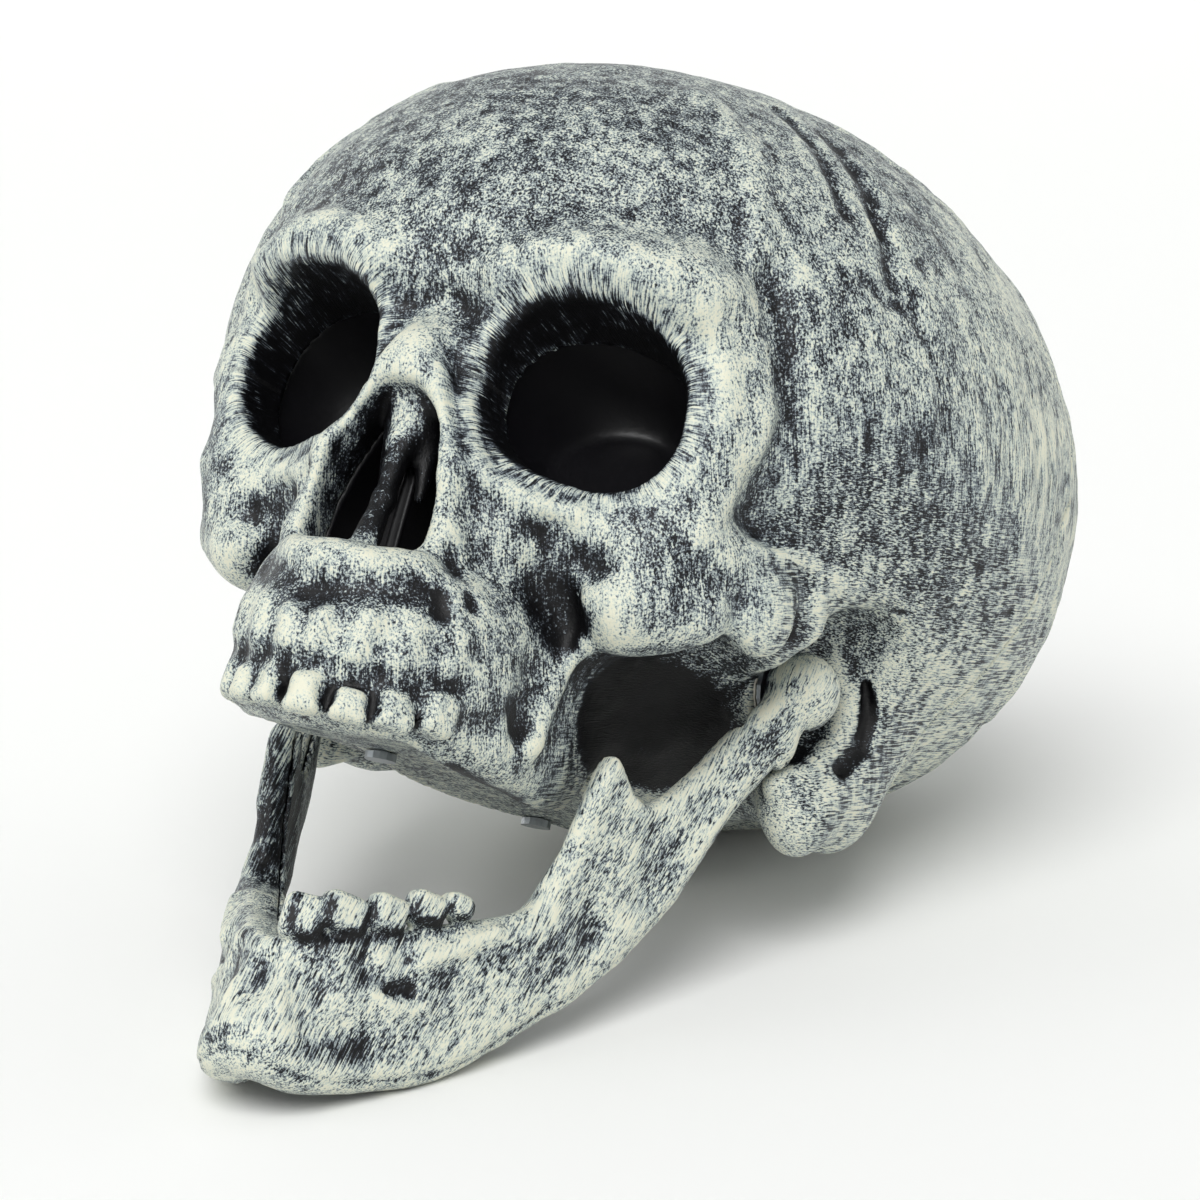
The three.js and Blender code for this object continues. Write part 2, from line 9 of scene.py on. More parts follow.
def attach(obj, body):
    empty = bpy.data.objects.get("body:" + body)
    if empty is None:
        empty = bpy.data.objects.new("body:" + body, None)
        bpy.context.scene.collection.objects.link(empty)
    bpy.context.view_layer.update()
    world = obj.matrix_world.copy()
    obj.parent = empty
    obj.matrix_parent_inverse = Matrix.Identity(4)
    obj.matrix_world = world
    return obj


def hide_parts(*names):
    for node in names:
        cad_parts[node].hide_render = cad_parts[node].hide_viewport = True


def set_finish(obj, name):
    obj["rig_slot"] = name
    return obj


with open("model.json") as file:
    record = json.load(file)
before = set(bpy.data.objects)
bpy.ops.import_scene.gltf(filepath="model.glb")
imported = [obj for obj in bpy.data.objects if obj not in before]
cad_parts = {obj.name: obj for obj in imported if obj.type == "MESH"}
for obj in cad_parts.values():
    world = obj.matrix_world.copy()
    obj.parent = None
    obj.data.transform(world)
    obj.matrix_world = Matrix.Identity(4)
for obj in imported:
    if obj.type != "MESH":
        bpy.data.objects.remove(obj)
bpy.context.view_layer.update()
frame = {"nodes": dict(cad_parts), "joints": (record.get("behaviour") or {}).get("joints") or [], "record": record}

MM = 0.001
lean_back = math.radians(36.58)
hinge_y, hinge_z = -12.1, -14.2
hinge_place = [length / MM for length in frame["joints"][0]["pos_m"]]

# Play between shells, the seam between face and back of the head, and how far the left side hangs lower
gap = 0.3
seam_y = 25
lip_length = 6
lip_wall = 1.6
droop_share = 0.07

# Size of the meshes' cells, and walls that such cells can hold
cell = 0.9
coarse_cell = cell * 1.4
wall = max(2.2, 2.4 * cell)
head_wall = wall + 1.2


# Turning from the skull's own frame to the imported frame
def lean(points):
    cos, sin = math.cos(lean_back), math.sin(lean_back)
    turned = np.array(points, float)
    turned[..., 1] = cos * points[..., 1] + sin * points[..., 2]
    turned[..., 2] = cos * points[..., 2] - sin * points[..., 1]
    return turned


hinge_turned = lean(np.array([0, hinge_y, hinge_z], float))


def placed(points):
    return (lean(points) - hinge_turned + hinge_place) * MM


# Rounded masses and how they run together
def mass(points, centre, radii, square=2.0):
    away = points - centre
    ratio = np.abs(away) / radii
    flat = np.hypot(ratio[:, 0], ratio[:, 1])
    reach = np.maximum((flat**square + ratio[:, 2] ** square) ** (1 / square), 1e-6)
    return np.linalg.norm(away, axis=1) * (1 - 1 / reach)


def join(a, b, width):
    overlap = np.maximum(width - np.abs(a - b), 0) / width
    return np.minimum(a, b) - overlap * overlap * width / 4


def cut(a, b, width):
    return -join(-a, b, width)


def line_share(points, start, end):
    run = np.subtract(end, start)
    return np.clip((points - start) @ run / (run @ run), 0, 1)


def limb(points, start, end, first, last):
    share = line_share(points, start, end)
    middle = np.asarray(start) + share[:, None] * np.subtract(end, start)
    return np.linalg.norm(points - middle, axis=1) - (first + (last - first) * share)


def bar_x(points, radius, from_x, to_x):
    low, high = min(from_x, to_x), max(from_x, to_x)
    round_part = np.hypot(points[:, 1] - hinge_y, points[:, 2] - hinge_z) - radius
    return np.maximum(round_part, np.maximum(low - points[:, 0], points[:, 0] - high))


def mirrored(point, sign):
    """The same place on the head's other side, which hangs less"""
    return (sign * point[0], point[1], point[2] + (0 if sign > 0 else 2 * droop_share * point[0]))


def mirrored_flat(point, sign):
    return (sign * point[0], point[1], point[2])


def evened(points):
    """The same places on the left side"""
    return np.abs(points) * [1, 0, 0] + points * [0, 1, 1]


# Smooth random values on a lattice, for hand-made unevenness
class Lattice:
    def __init__(self, seed, size=24):
        self.size = size
        self.values = np.random.default_rng(seed).uniform(-1, 1, (size, size, size))

    def at(self, points, spacing):
        place = points / spacing
        low = np.floor(place).astype(int)
        share = place - low
        share = share * share * (3 - 2 * share)
        total = np.zeros(len(points))
        for corner in np.ndindex(2, 2, 2):
            index = (low + corner) % self.size
            weight = np.prod(np.where(corner, share, 1 - share), axis=1)
            total += weight * self.values[index[:, 0], index[:, 1], index[:, 2]]
        return total


unevenness = Lattice(11)
wrinkling = Lattice(23)


# Marks: lines along which the surface stands out or sinks, or along which more or less paint lies
both, near, far = (1, -1), (1,), (-1,)
mark_reach, mark_fall = 2.2, 1.1
skin_depth = 3


def near_line(points, line):
    nearest = np.full(len(points), 1e9)
    for start, end in zip(line[:-1], line[1:]):
        share = line_share(points, start, end)
        middle = np.asarray(start) + share[:, None] * np.subtract(end, start)
        nearest = np.minimum(nearest, np.linalg.norm(points - middle, axis=1))
    return nearest


def marked(points, marks, mirror=mirrored):
    """Sum of all marks at each point: each is sides, breadth, amount and line"""
    total = np.zeros(len(points))
    for sides, breadth, amount, line in marks.values():
        for sign in sides:
            there = np.array([mirror(point, sign) for point in line], float)
            low, high = there.min(0) - mark_reach * breadth, there.max(0) + mark_reach * breadth
            close = np.flatnonzero(((points > low) & (points < high)).all(1))
            if len(close):
                nearest = near_line(points[close], there)
                total[close] += amount * np.exp(-mark_fall * (nearest / breadth) ** 2)
    return total


# Surface of a distance field: one vertex in each grid cell that the surface crosses
# The field is looked at in blocks of so many cells each way, and in full only in blocks near the surface.
BLOCK = 4


def in_parts(field, points, most=300000):
    return np.concatenate([field(points[i : i + most]) for i in range(0, len(points), most)])


def corner_views(grid):
    for corner in np.ndindex(2, 2, 2):
        yield corner, grid[tuple(slice(c, c - 1 if c == 0 else None) for c in corner)]


def crossed_edges(inside, known, axis):
    """Grid edges along an axis whose ends lie on different sides, and the four cells round each"""
    first = [slice(1, -1)] * 3
    first[axis] = slice(0, -1)
    second = list(first)
    second[axis] = slice(1, None)
    first, second = tuple(first), tuple(second)
    offset = np.ones(3, int)
    offset[axis] = 0
    edge = np.argwhere(known[first] & known[second] & (inside[first] != inside[second])) + offset
    u, v = [np.eye(3, dtype=int)[k] for k in range(3) if k != axis]
    return edge, [edge - step for step in (0 * u, u, u + v, v)]


def sampled(field, low, high, cell):
    """The field at the grid's corners, its inside, the cells looked at, and the edges that are crossed"""
    blocks = np.ceil((high - low) / (BLOCK * cell)).astype(int)
    middle = np.stack(np.meshgrid(*[np.arange(n) for n in blocks], indexing="ij"), -1).reshape(-1, 3)
    distance = in_parts(field, low + (middle + 0.5) * BLOCK * cell)
    needed = (np.abs(distance) < 1.25 * BLOCK * cell).reshape(blocks)
    value = np.full(blocks * BLOCK + 1, np.nan)
    while True:
        cells = needed.repeat(BLOCK, 0).repeat(BLOCK, 1).repeat(BLOCK, 2)
        known = np.zeros(value.shape, bool)
        for _, view in corner_views(known):
            view |= cells
        place = np.argwhere(known & np.isnan(value))
        value[tuple(place.T)] = in_parts(field, low + place * cell)
        inside = value < 0
        rings = [crossed_edges(inside, known, axis) for axis in range(3)]
        around = np.concatenate([cell_list for _, ring in rings for cell_list in ring])
        missed = around[~cells[tuple(around.T)]]
        if len(missed) == 0:
            return value, inside, cells, rings
        needed[tuple((missed // BLOCK).T)] = True


def middles_of_crossings(value, at):
    """Mean place, for each cell, of the spots where the surface crosses its edges"""
    corner_value = {c: value[tuple((at + c).T)] for c in np.ndindex(2, 2, 2)}
    total = np.zeros(at.shape, float)
    hits = np.zeros(len(at))
    for axis in range(3):
        for start in np.ndindex(2, 2, 2):
            if start[axis]:
                continue
            end = tuple(1 if k == axis else c for k, c in enumerate(start))
            a, b = corner_value[start], corner_value[end]
            hit = (a < 0) != (b < 0)
            share = np.where(hit, a / np.where(hit, a - b, 1), 0)
            spot = np.array(start, float)[None].repeat(len(at), 0)
            spot[:, axis] = share
            total += spot * hit[:, None]
            hits += hit
    return at + total / hits[:, None]


def skin_of(field, box, cell):
    """Points and four-sided faces of the surface where the field is zero"""
    low, high = np.array(box, float)
    value, inside, cells, rings = sampled(field, low, high, cell)
    count = sum(view.astype(np.int8) for _, view in corner_views(inside))
    crossed = cells & (count > 0) & (count < 8)
    number = np.full(cells.shape, -1)
    number[crossed] = np.arange(crossed.sum())
    verts = low + middles_of_crossings(value, np.argwhere(crossed)) * cell
    quads = []
    for axis, (edge, ring) in enumerate(rings):
        quad = np.stack([number[tuple(cell_list.T)] for cell_list in ring], 1)
        flip = inside[tuple(edge.T)] == (axis == 1)
        quad[flip] = quad[flip][:, ::-1]
        quads.append(quad)
    return verts, np.concatenate(quads)


def slope_of(field, points, step):
    """The field at the points and its slope there"""
    here = in_parts(field, points)
    slope = np.stack([in_parts(field, points + step * np.eye(3)[k]) - here for k in range(3)], 1)
    return here, slope / step


def settle(field, points, cell, rounds):
    """Moves points along the field's slope onto its zero, at most half a cell a time"""
    for _ in range(rounds):
        here, slope = slope_of(field, points, 0.15 * cell)
        size = np.maximum((slope**2).sum(1), 0.2)
        move = slope * (here / size)[:, None]
        length = np.linalg.norm(move, axis=1)
        move *= np.minimum(1, 0.5 * cell / np.maximum(length, 1e-9))[:, None]
        points = points - move
    return points


# Forms of the head, as in the part's source
joint_wall_x = 46.1
joint_hollow = ((joint_wall_x + 18, hinge_y, hinge_z), (18, 14, 17))
socket_centre = (29.5, -84, 16)
socket_radii = (17.8, 36, 15.8)


def side_of(points):
    return np.where(points[:, 0] < 0, -1.0, 1.0)


def hanging(points):
    level = points.copy()
    level[:, 2] += droop_share * points[:, 0]
    return level


def head_masses(points):
    """Braincase, brows, cheeks, upper jaw and the parts round the ear, run together"""
    even = evened(points)
    level = hanging(points)
    level_even = evened(level)
    form = mass(points, braincase_centre, braincase_radii, braincase_square)
    form = join(form, mass(even, (26, -74, 37), (25, 14, 9)), 9)
    form = join(form, mass(even, (45.5, -61, 17), (9, 10, 25)), 9)
    form = join(form, mass(level, (0, -2, -6), (38, 46, 32), 3), 9)
    form = join(form, mass(level, (3, -42, -28), (24, 25, 22), 4), 9)
    form = join(form, mass(level, (0, -52, -4), (39, 33, 32)), 9)
    form = join(form, mass(level, (0, -63, -38), (28, 37, 18), 4), 9)
    form = join(form, mass(level, (0, -76, 20), (9, 15, 16)), 9)
    form = join(form, mass(level_even, (39.5, -57, -7.5), (13, 14, 15)), 9)
    form = join(form, mass(level_even, (52, -34, -3), (8, 27, 8.5)), 9)
    form = join(form, mass(level_even, (44, 14, -9), (18, 22, 20)), 9)
    form = cut(form, mass(level_even, (47, -37, -34), (21, 20, 17)), 5)
    form = join(form, mass(level_even, (51, 9, -22.5), (9.5, 15, 10.5)), 8)
    form = join(form, mass(level_even, (53, -1, -27), (7.5, 9.5, 11.3)), 5)
    return cut(form, mass(even, *joint_hollow), 5)


def socket(points, grow=0.0):
    distance = np.full(len(points), 1e3)
    for sign in (1, -1):
        x, y, z = socket_centre
        centre = (sign * x, y, z - sign * droop_share * x)
        radii = np.add(socket_radii, grow)
        distance = np.minimum(distance, mass(points, centre, radii, 2.3))
    return distance


# How far the nose moves aside for each millimetre down
nose_turn = 0.07


def nose_place(points):
    """The nose leans a little to the right on its way down"""
    level = hanging(points)
    level[:, 0] += nose_turn * (12 - level[:, 2])
    return level


def nose_opening(points, grow=0.0):
    level = nose_place(points)
    half = np.interp(level[:, 2], [-25, -19, -12, -4, 3, 8], [10, 12, 12, 10.6, 8.4, 5])
    across = np.abs(level[:, 0]) - half - grow
    upright = np.maximum(-24 - level[:, 2], level[:, 2] - 8.5) - grow
    deep = level[:, 1] + 66 - grow
    return np.maximum(cut(across, -upright, 4), deep)


septum_ridges = [
    ((-0.5, -80.5, 8), (-1.2, -81.5, 0), 6.5, 3.4),
    ((-1.2, -83, 0), (0.2, -86, -12), 2.6, 1.9),
    ((0.2, -86, -12), (1.4, -91, -26), 1.9, 2.6),
    ((-4.5, -79.5, 4), (-4.6, -79, -11), 2.8, 1.2),
    ((2.2, -79.5, 3), (3.4, -80, -9), 2.4, 1.1),
]


# Underside of the upper jaw: a flat rim behind the teeth, then a slope up to the base plate
rim_level = -56.4
floor_places = [-87, -76, -66, -49, -30, 0, 40]
floor_wall = [rim_level, -54.9, -53.4, -51.5, -50, -46, -38]
floor_middle = [rim_level, -52.8, -49.3, -46.3, -43.1, -38, -31.2]
wall_inside = [13, 13, 13, 16, 19, 22, 22]
far_wall_inside = 32


def under_floor(level):
    low = np.interp(level[:, 1], floor_places, floor_wall)
    high = np.interp(level[:, 1], floor_places, floor_middle)
    beside = level[:, 0] - np.interp(level[:, 1], floor_places, wall_inside)
    beside = np.maximum(beside, -far_wall_inside - level[:, 0])
    floor = high + (low - high) * smooth_step(beside, 0.5, 5)
    return floor - level[:, 2]


# Sutures on the back of the braincase, as zigzag lines between places given by breadth and height
braincase_centre, braincase_radii, braincase_square = (0, 7.8, 39.9), (83.5, 97.9, 69), 2.1


def on_back(x, z):
    upright = abs((z - braincase_centre[2]) / braincase_radii[2])
    flat = (1 - upright**braincase_square) ** (1 / braincase_square)
    behind = braincase_radii[1] * math.sqrt(flat**2 - (x / braincase_radii[0]) ** 2)
    return (x, braincase_centre[1] + behind, z)


def zigzag(start, end, steps, swing):
    run = np.subtract(end, start)
    across = np.array([-run[1], run[0]]) / np.linalg.norm(run)
    places = [np.add(start, run * k / steps) + across * swing * (k % 2 * 2 - 1) for k in range(steps + 1)]
    return [on_back(*place) for place in places]


left_suture = zigzag((0, 61), (64, 6), 26, 1.3)
right_suture = zigzag((0, 61), (-64, 6), 26, 1.3)
top_suture = zigzag((0, 61), (0, 98), 14, 1.2)

# Lines that both the relief and the paint follow
brow_band = [(12, -89, 33), (20, -90, 37), (28, -89, 38), (36, -87, 37), (43, -83, 35)]
temple_line = [(28.6, -63.4, 82.7), (42.2, -66.2, 70.6), (49.3, -68.3, 56.4), (52, -69, 46)]
temple_groove = [(46, -44.5, 86), (57.5, -46, 74.5), (68, -46, 54)]
upper_temple_groove = [(38, -50, 88), (50, -52, 78), (59, -54, 64)]
forked_wrinkle = [(65, -52, 52), (68, -47, 50), (71, -42, 51.5), (74, -38, 47)]
mould_line = [(63.5, -26, -1), (69, -12, 3.6), (79, 16.4, 16.5)]
empty_tooth_place = [(28, -68, -42.5), (28.2, -66.5, -45)]
third_root_hollow = [(16.8, -69, -87), (17.6, -68, -89)]
nerve_hole = [(16.9, -69.2, -95.6), (19.4, -65.4, -94.4)]
slanting_ridge = [(20.5, -65, -89), (23, -61.5, -86), (27, -54.5, -79)]

head_marks = {
    "side of nose": (both, 3.4, -1.1, [(7, -88, 19), (9.5, -87, 8), (13, -86, -2), (17, -84.5, -11)]),
    "inner rim of socket": (
        both, 2.2, 1.6,
        [(10, -84, 8), (13, -83.5, 0), (17, -82.5, -5), (24, -78, -7.5), (31, -73.5, -7)],
    ),
    "end of far brow": (far, 8, -3.2, [(44, -84, 33), (49, -77, 28)]),
    "point of far brow": (far, 5, -2.2, [(46, -81, 36), (50, -74, 27), (54, -69, 20)]),
    "brow": (
        both, 4, 1.7,
        [(13, -89, 32), (20, -90, 36), (27, -89, 37.5), (35, -87, 36.5), (42, -83.5, 34), (47, -78, 31)],
    ),
    "between brows": (both, 5, -0.6, [(-3, -90, 36), (3, -90, 36)]),
    "outer rim of socket": (
        both, 3, 1.5,
        [(49, -77, 33), (51, -71, 27), (53, -67, 14), (53.5, -61, 4), (52, -65, -5)],
    ),
    "bulge on outer rim": (both, 4, 2.4, [(56, -61, 19), (57, -61, 13)]),
    "behind outer rim": (
        both, 4.5, -2.2,
        [(53, -66, 44), (56, -61, 33), (57.5, -57, 25), (59, -55, 10), (58, -52, 4)],
    ),
    "cheek shadow": (both, 3.5, -1.8, [(27, -75, -12), (31, -72.5, -14.5), (36, -70.5, -15)]),
    "hollow of cheek": (both, 5, -3.2, [(27, -71, -19), (30, -67, -23.5)]),
    "front of cheek": (both, 4, 1.5, [(35, -69, -22), (39, -69, -21), (42, -67, -22)]),
    "pit beside nose": (near, 2, -3.4, [(17, -85.5, -21), (18, -84.5, -23)]),
    "lower pit beside nose": (near, 1.7, -2.4, [(19, -89.5, -31), (19.6, -89.2, -33.5)]),
    "outer pit beside nose": (near, 1.5, -2.2, [(22.3, -84.5, -28), (22.6, -84, -30)]),
    "rim under nose": (both, 2.2, 1.4, [(0, -98, -28), (7, -97, -28), (13, -90, -25)]),
    "hollow over teeth": (
        both, 3.2, -1.9,
        [(0, -100, -35.5), (5, -99.5, -34.5), (11, -97, -33), (17, -91.5, -31)],
    ),
    "first root": (both, 2.4, 1.5, [(3, -100.8, -46), (3.5, -100.8, -40)]),
    "second root": (both, 2.4, 1.5, [(10.5, -98, -46), (11, -97.5, -39)]),
    "third root": (both, 2.4, 1.3, [(17, -92.5, -45), (17, -92, -38)]),
    "fourth root": (both, 2.4, 1.2, [(22.5, -85.5, -43.5), (22, -85, -37)]),
    "tooth necks": (
        both, 1.9, -1.5,
        [(0, -101, -48.5), (6, -100.5, -49), (13, -97, -48.8), (19, -91.5, -46.8), (24, -84.5, -44.5)],
    ),
    "gap of front teeth": (near, 2.4, -4, [(-2.2, -100.5, -50.5), (-1.6, -100.5, -53.5)]),
    "pit after first tooth": (near, 1.7, -3.5, [(6.9, -98.5, -52), (7.1, -98, -54)]),
    "slot after second tooth": (near, 1.4, -3.5, [(13.9, -95.5, -48.5), (14.8, -94.5, -54)]),
    "pit after third tooth": (near, 1.8, -3.5, [(20.6, -90, -48.5), (20.8, -89.5, -51)]),
    "far tooth gaps": (far, 1.8, -3.2, [(8, -99, -49), (8, -98.5, -53)]),
    "second far gap": (far, 1.8, -3.2, [(15.4, -93.5, -48), (15.6, -93.5, -53)]),
    "gap before last tooth": (both, 3, -2.2, [(26.5, -78, -49.5), (27, -74, -49)]),
    "empty tooth place": (both, 2.9, -3.4, empty_tooth_place),
    "hollow before crest": (both, 3, -1.8, [(28, -68, -35), (28.3, -66, -41)]),
    "crest of upper jaw": (
        both, 2.4, 2.0,
        [(33, -61, -27), (29.5, -60, -34), (29, -60.5, -40), (28.8, -61, -46)],
    ),
    "upper edge of arch": (both, 1.9, 1.4, [(57, -53, -3), (60, -41, 1), (63.5, -27, 1.5)]),
    "end of arch": (both, 3.6, 1.8, [(61.5, -32, -3.5), (61, -29, -8)]),
    "notch under arch": (both, 2.2, -3, [(58.5, -37, -10), (60, -35, -11.5)]),
    "ear ridge": (
        both, 1.9, 3.2,
        [(54, -3, -4.5), (57, 0.4, -9.5), (57, 1.2, -15), (56, 0, -20), (55.5, -6, -27.5), (51, -10.5, -32)],
    ),
    "groove behind ear": (both, 1.8, -1.9, [(59, 2.5, -6), (60, 5, -12), (60, 5, -18), (58.5, 1, -24)]),
    "temple line": (both, 3, 1.2, temple_line),
    "temple groove": (both, 2.4, -1.4, temple_groove),
    "upper temple groove": (near, 1.6, -1.0, upper_temple_groove),
    "forked wrinkle": (near, 1.3, -1.0, forked_wrinkle),
    "left suture": (near, 1.1, -0.9, left_suture),
    "right suture": (near, 1.1, -0.9, right_suture),
    "top suture": (near, 1.1, -0.8, top_suture),
    "ridge over neck": (both, 6, 1.6, [(0, 101, 24), (18, 99, 22), (36, 89, 17)]),
    "hollow under neck ridge": (both, 8, -1.6, [(12, 94, 10), (28, 86, 6)]),
    "mould line": (near, 0.9, -0.3, mould_line),
}


def finished_head(points, form):
    """Adds the marks and the uneven hand of the sculptor close to the surface"""
    form = form - marked(points, head_marks)
    close = np.flatnonzero(np.abs(form) < skin_depth)
    spots = points[close]
    x, y, z = np.abs(spots[:, 0]), spots[:, 1], spots[:, 2]
    across, along = 0.84 * y + 0.54 * z, 0.54 * y - 0.84 * z
    wrinkle_place = np.stack([spots[:, 0] / 7, across / 3.2, along / 17], 1)
    side = smooth_step(x, 25, 48) * smooth_step(z, 10, 32) * smooth_step(y, -62, -40)
    side = np.maximum(side, smooth_step(y, 20, 45))
    uneven = 0.6 * side * wrinkling.at(wrinkle_place, 1)
    uneven += 0.14 * unevenness.at(spots, 2.6) + 0.3 * unevenness.at(spots, 9) * (1 - 0.5 * side)
    form[close] += uneven
    return form


def head_core(points):
    """The head before the marks on its skin"""
    form = head_masses(points)
    level = hanging(points)
    level_even = evened(level)
    nose_even = evened(nose_place(points))
    form = cut(form, mass(level, (0, -98, 25.5), (13, 15, 6.5)), 8)
    form = join(form, limb(level, (0, -80, 24), (0, -87, 13), 5.2, 5), 4)
    form = join(form, limb(nose_even, (5.4, -88, 11), (12.6, -85, -4), 2.5, 2.8), 5)
    form = join(form, limb(nose_even, (12.6, -85, -4), (14.4, -83, -19), 2.8, 3.2), 6)
    form = join(form, limb(level_even, (39, -62, -18), (50, -55, -13), 6.6, 5.6), 4)
    form = join(form, mass(level_even, (56.5, -43.5, -7.5), (5.5, 7.5, 7.5)), 5)
    form = cut(form, -under_floor(level), 1.5)
    form = cut(form, socket(points), 3)
    form = cut(form, nose_opening(points), 2)
    for start, end, first, last in septum_ridges:
        form = join(form, limb(points, start, end, first, last), 2)
    return join(form, upper_teeth(points), 1.2)


def head(points):
    return finished_head(points, head_core(points))


# Teeth: rounded blocks that stand on the arch of the upper jaw, and on the band of the lower one.
# Upper crowns are given by the middle of their faces, half width and half height.
upper_arch = (26.2, 36)
upper_crowns = [
    (-6.5, -98.5, -51.6, 3.0, 4.0),
    (3.2, -100.2, -53.4, 4.3, 3.8),
    (11.8, -97.3, -54.3, 3.8, 3.1),
    (18.2, -91.9, -52.8, 4.1, 3.5),
    (23.3, -85, -50.4, 3.7, 4.1),
    (-13.5, -95.5, -51.2, 3.6, 3.6),
    (-19.5, -90, -49.2, 3.7, 3.6),
    (-23.5, -82, -47, 3.5, 3.6),
    (28.4, -62, -47.4, 2.7, 3.0),
    (-28.4, -62, -43.4, 2.7, 3.0),
]
crown_depth, crown_round = 2.8, 2.1


def block(points, centre, half, turn, round_edge):
    x, y, z = (points - centre).T
    cos, sin = math.cos(turn), math.sin(turn)
    turned = np.stack([cos * x + sin * y, cos * y - sin * x, z], 1)
    past = np.abs(turned) - np.subtract(half, round_edge)
    outside = np.linalg.norm(np.maximum(past, 0), axis=1)
    return outside + np.minimum(past.max(1), 0) - round_edge


def upper_teeth(points):
    across, along = upper_arch
    distance = np.full(len(points), 1e3)
    close = np.flatnonzero((points[:, 2] < -34) & (points[:, 1] < -50))
    if len(close) == 0:
        return distance
    local = points[close]
    teeth = np.full(len(close), 1e3)
    for x, y, z, half_width, half_height in upper_crowns:
        turn = math.asin(max(-1, min(1, x / across)))
        facing = math.atan2(along * math.sin(turn), across * math.cos(turn))
        centre = (x - crown_depth * math.sin(facing), y + crown_depth * math.cos(facing), z)
        crown = block(local, centre, (half_width, crown_depth, half_height), facing, crown_round)
        teeth = np.minimum(teeth, crown)
    distance[close] = teeth
    return distance


# Base plate: its own frame runs along y from its front and up from its underside
plate_origin = (-51, -46.2)
plate_rise = math.radians(9.7)
plate_front, plate_back, plate_wide_y = -15, 81, 43
plate_front_half, plate_wide_half = 15, 22
plate_thick = 2.4
ledge_reach, ledge_thick = 5, 2.6


def on_plate(points):
    y, z = points[:, 1] - plate_origin[0], points[:, 2] - plate_origin[1]
    cos, sin = math.cos(plate_rise), math.sin(plate_rise)
    return np.stack([points[:, 0], cos * y + sin * z, cos * z - sin * y], 1)


def bezier(points, steps):
    share = np.linspace(0, 1, steps + 1)[:, None]
    a, b, c, d = [np.array(point, float) for point in points]
    keep = 1 - share
    return keep**3 * a + 3 * keep**2 * share * b + 3 * keep * share**2 * c + share**3 * d


def plate_line():
    front, back, wide = plate_front, plate_back, plate_wide_y
    half, widest = plate_front_half, plate_wide_half
    runs = [
        bezier([(0, front), (half, front), (half, front), (half, front + half)], 8),
        bezier([(half, front + half), (half, wide / 2), (widest, wide / 2), (widest, wide)], 8)[1:],
        bezier([(widest, wide), (widest, back - widest / 2), (widest / 2, back), (0, back)], 8)[1:],
    ]
    return np.concatenate(runs)


def plate_edge(level):
    line = plate_line()
    spot = np.stack([np.abs(level[:, 0]), level[:, 1]], 1)
    nearest = np.full(len(spot), 1e9)
    for start, end in zip(line[:-1], line[1:]):
        share = line_share(spot, start, end)
        nearest = np.minimum(nearest, np.linalg.norm(spot - start - share[:, None] * (end - start), axis=1))
    half = np.interp(spot[:, 1], line[:, 1], line[:, 0], left=-1, right=-1)
    return np.where(spot[:, 0] < half, -nearest, nearest)


screw_places = [(sign * x, y) for sign in (1, -1) for x, y in ((10.5, 6.1), (11.3, 71.4))]
screw_hole_radius, screw_hole_top = 1.8, 8.8
screw_boss_radius, screw_boss_foot, screw_boss_top = 4.2, 2.7, 11
opening_height = 15


def base_parts(points):
    level = on_plate(points)
    return level, plate_edge(level)


def only_near_base(points):
    return np.flatnonzero((points[:, 2] < 5) & (np.abs(points[:, 0]) < 45) & (points[:, 1] < 60))


# Shells of the head, with a boss for each pivot bush
clip_room_x = joint_wall_x - 11
bush_boss_radius, bush_hole_radius = 7, 4


def with_base_seat(points, shell, skin):
    """The shell with the opening under the base plate, the ledge round it and the screws' bosses"""
    level, edge = base_parts(points)
    room = np.maximum(edge - gap, level[:, 2] - plate_thick - gap)
    opening = np.maximum(edge + ledge_reach, level[:, 2] - opening_height)
    ring = np.maximum(edge - gap - wall, level[:, 2] - plate_thick - gap - ledge_thick)
    ring = np.maximum(ring, -(edge + ledge_reach))
    shell = np.minimum(shell, np.maximum(ring, skin))
    for x, y in screw_places:
        post = np.hypot(level[:, 0] - x, level[:, 1] - y)
        upright_reach = np.maximum(screw_boss_foot - level[:, 2], level[:, 2] - screw_boss_top)
        boss = np.maximum(post - screw_boss_radius, upright_reach)
        shell = np.minimum(shell, np.maximum(boss, skin))
        shell = np.maximum(shell, -np.maximum(post - screw_hole_radius, level[:, 2] - screw_hole_top))
    shell = np.maximum(shell, -room)
    return np.maximum(shell, -opening)


def head_shell(points):
    """Inner face and shell of the head: where a mark sinks in, the inner face sinks with it"""
    core = head_core(points)
    skin = finished_head(points, core.copy())
    within = np.maximum(core, skin) + head_wall
    shell = np.maximum(skin, -within)
    for sign in (1, -1):
        boss = bar_x(points, bush_boss_radius, sign * clip_room_x, sign * joint_wall_x)
        shell = np.minimum(shell, boss)
        shell = np.maximum(shell, -bar_x(points, bush_hole_radius, sign * 20, sign * 60))
    close = only_near_base(points)
    if len(close):
        shell[close] = with_base_seat(points[close], shell[close], skin[close])
    return within, shell


# Cups in the eye sockets start behind the painted rims and stand back from the sockets' walls
cup_front_y, cup_front_slope, cup_step = -66, 0.4, 1.6
insert_front_y, insert_back_y = -78, -65


def cup_zone(points, sign, margin=0.0):
    """Inside of an eye socket behind its painted rim"""
    x, y, z = socket_centre
    centre = (sign * x, y, z - sign * droop_share * x)
    around = mass(points, centre, np.add(socket_radii, cup_step + wall + 1), 2.3)
    front = cup_front_y + cup_front_slope * (np.abs(points[:, 0]) - x) - points[:, 1]
    return np.maximum(around, front) - margin


def insert_zone(points, margin=0.0):
    """Inside of the nose behind its painted rim"""
    return np.maximum(nose_opening(points, wall + 1), insert_front_y - points[:, 1]) - margin


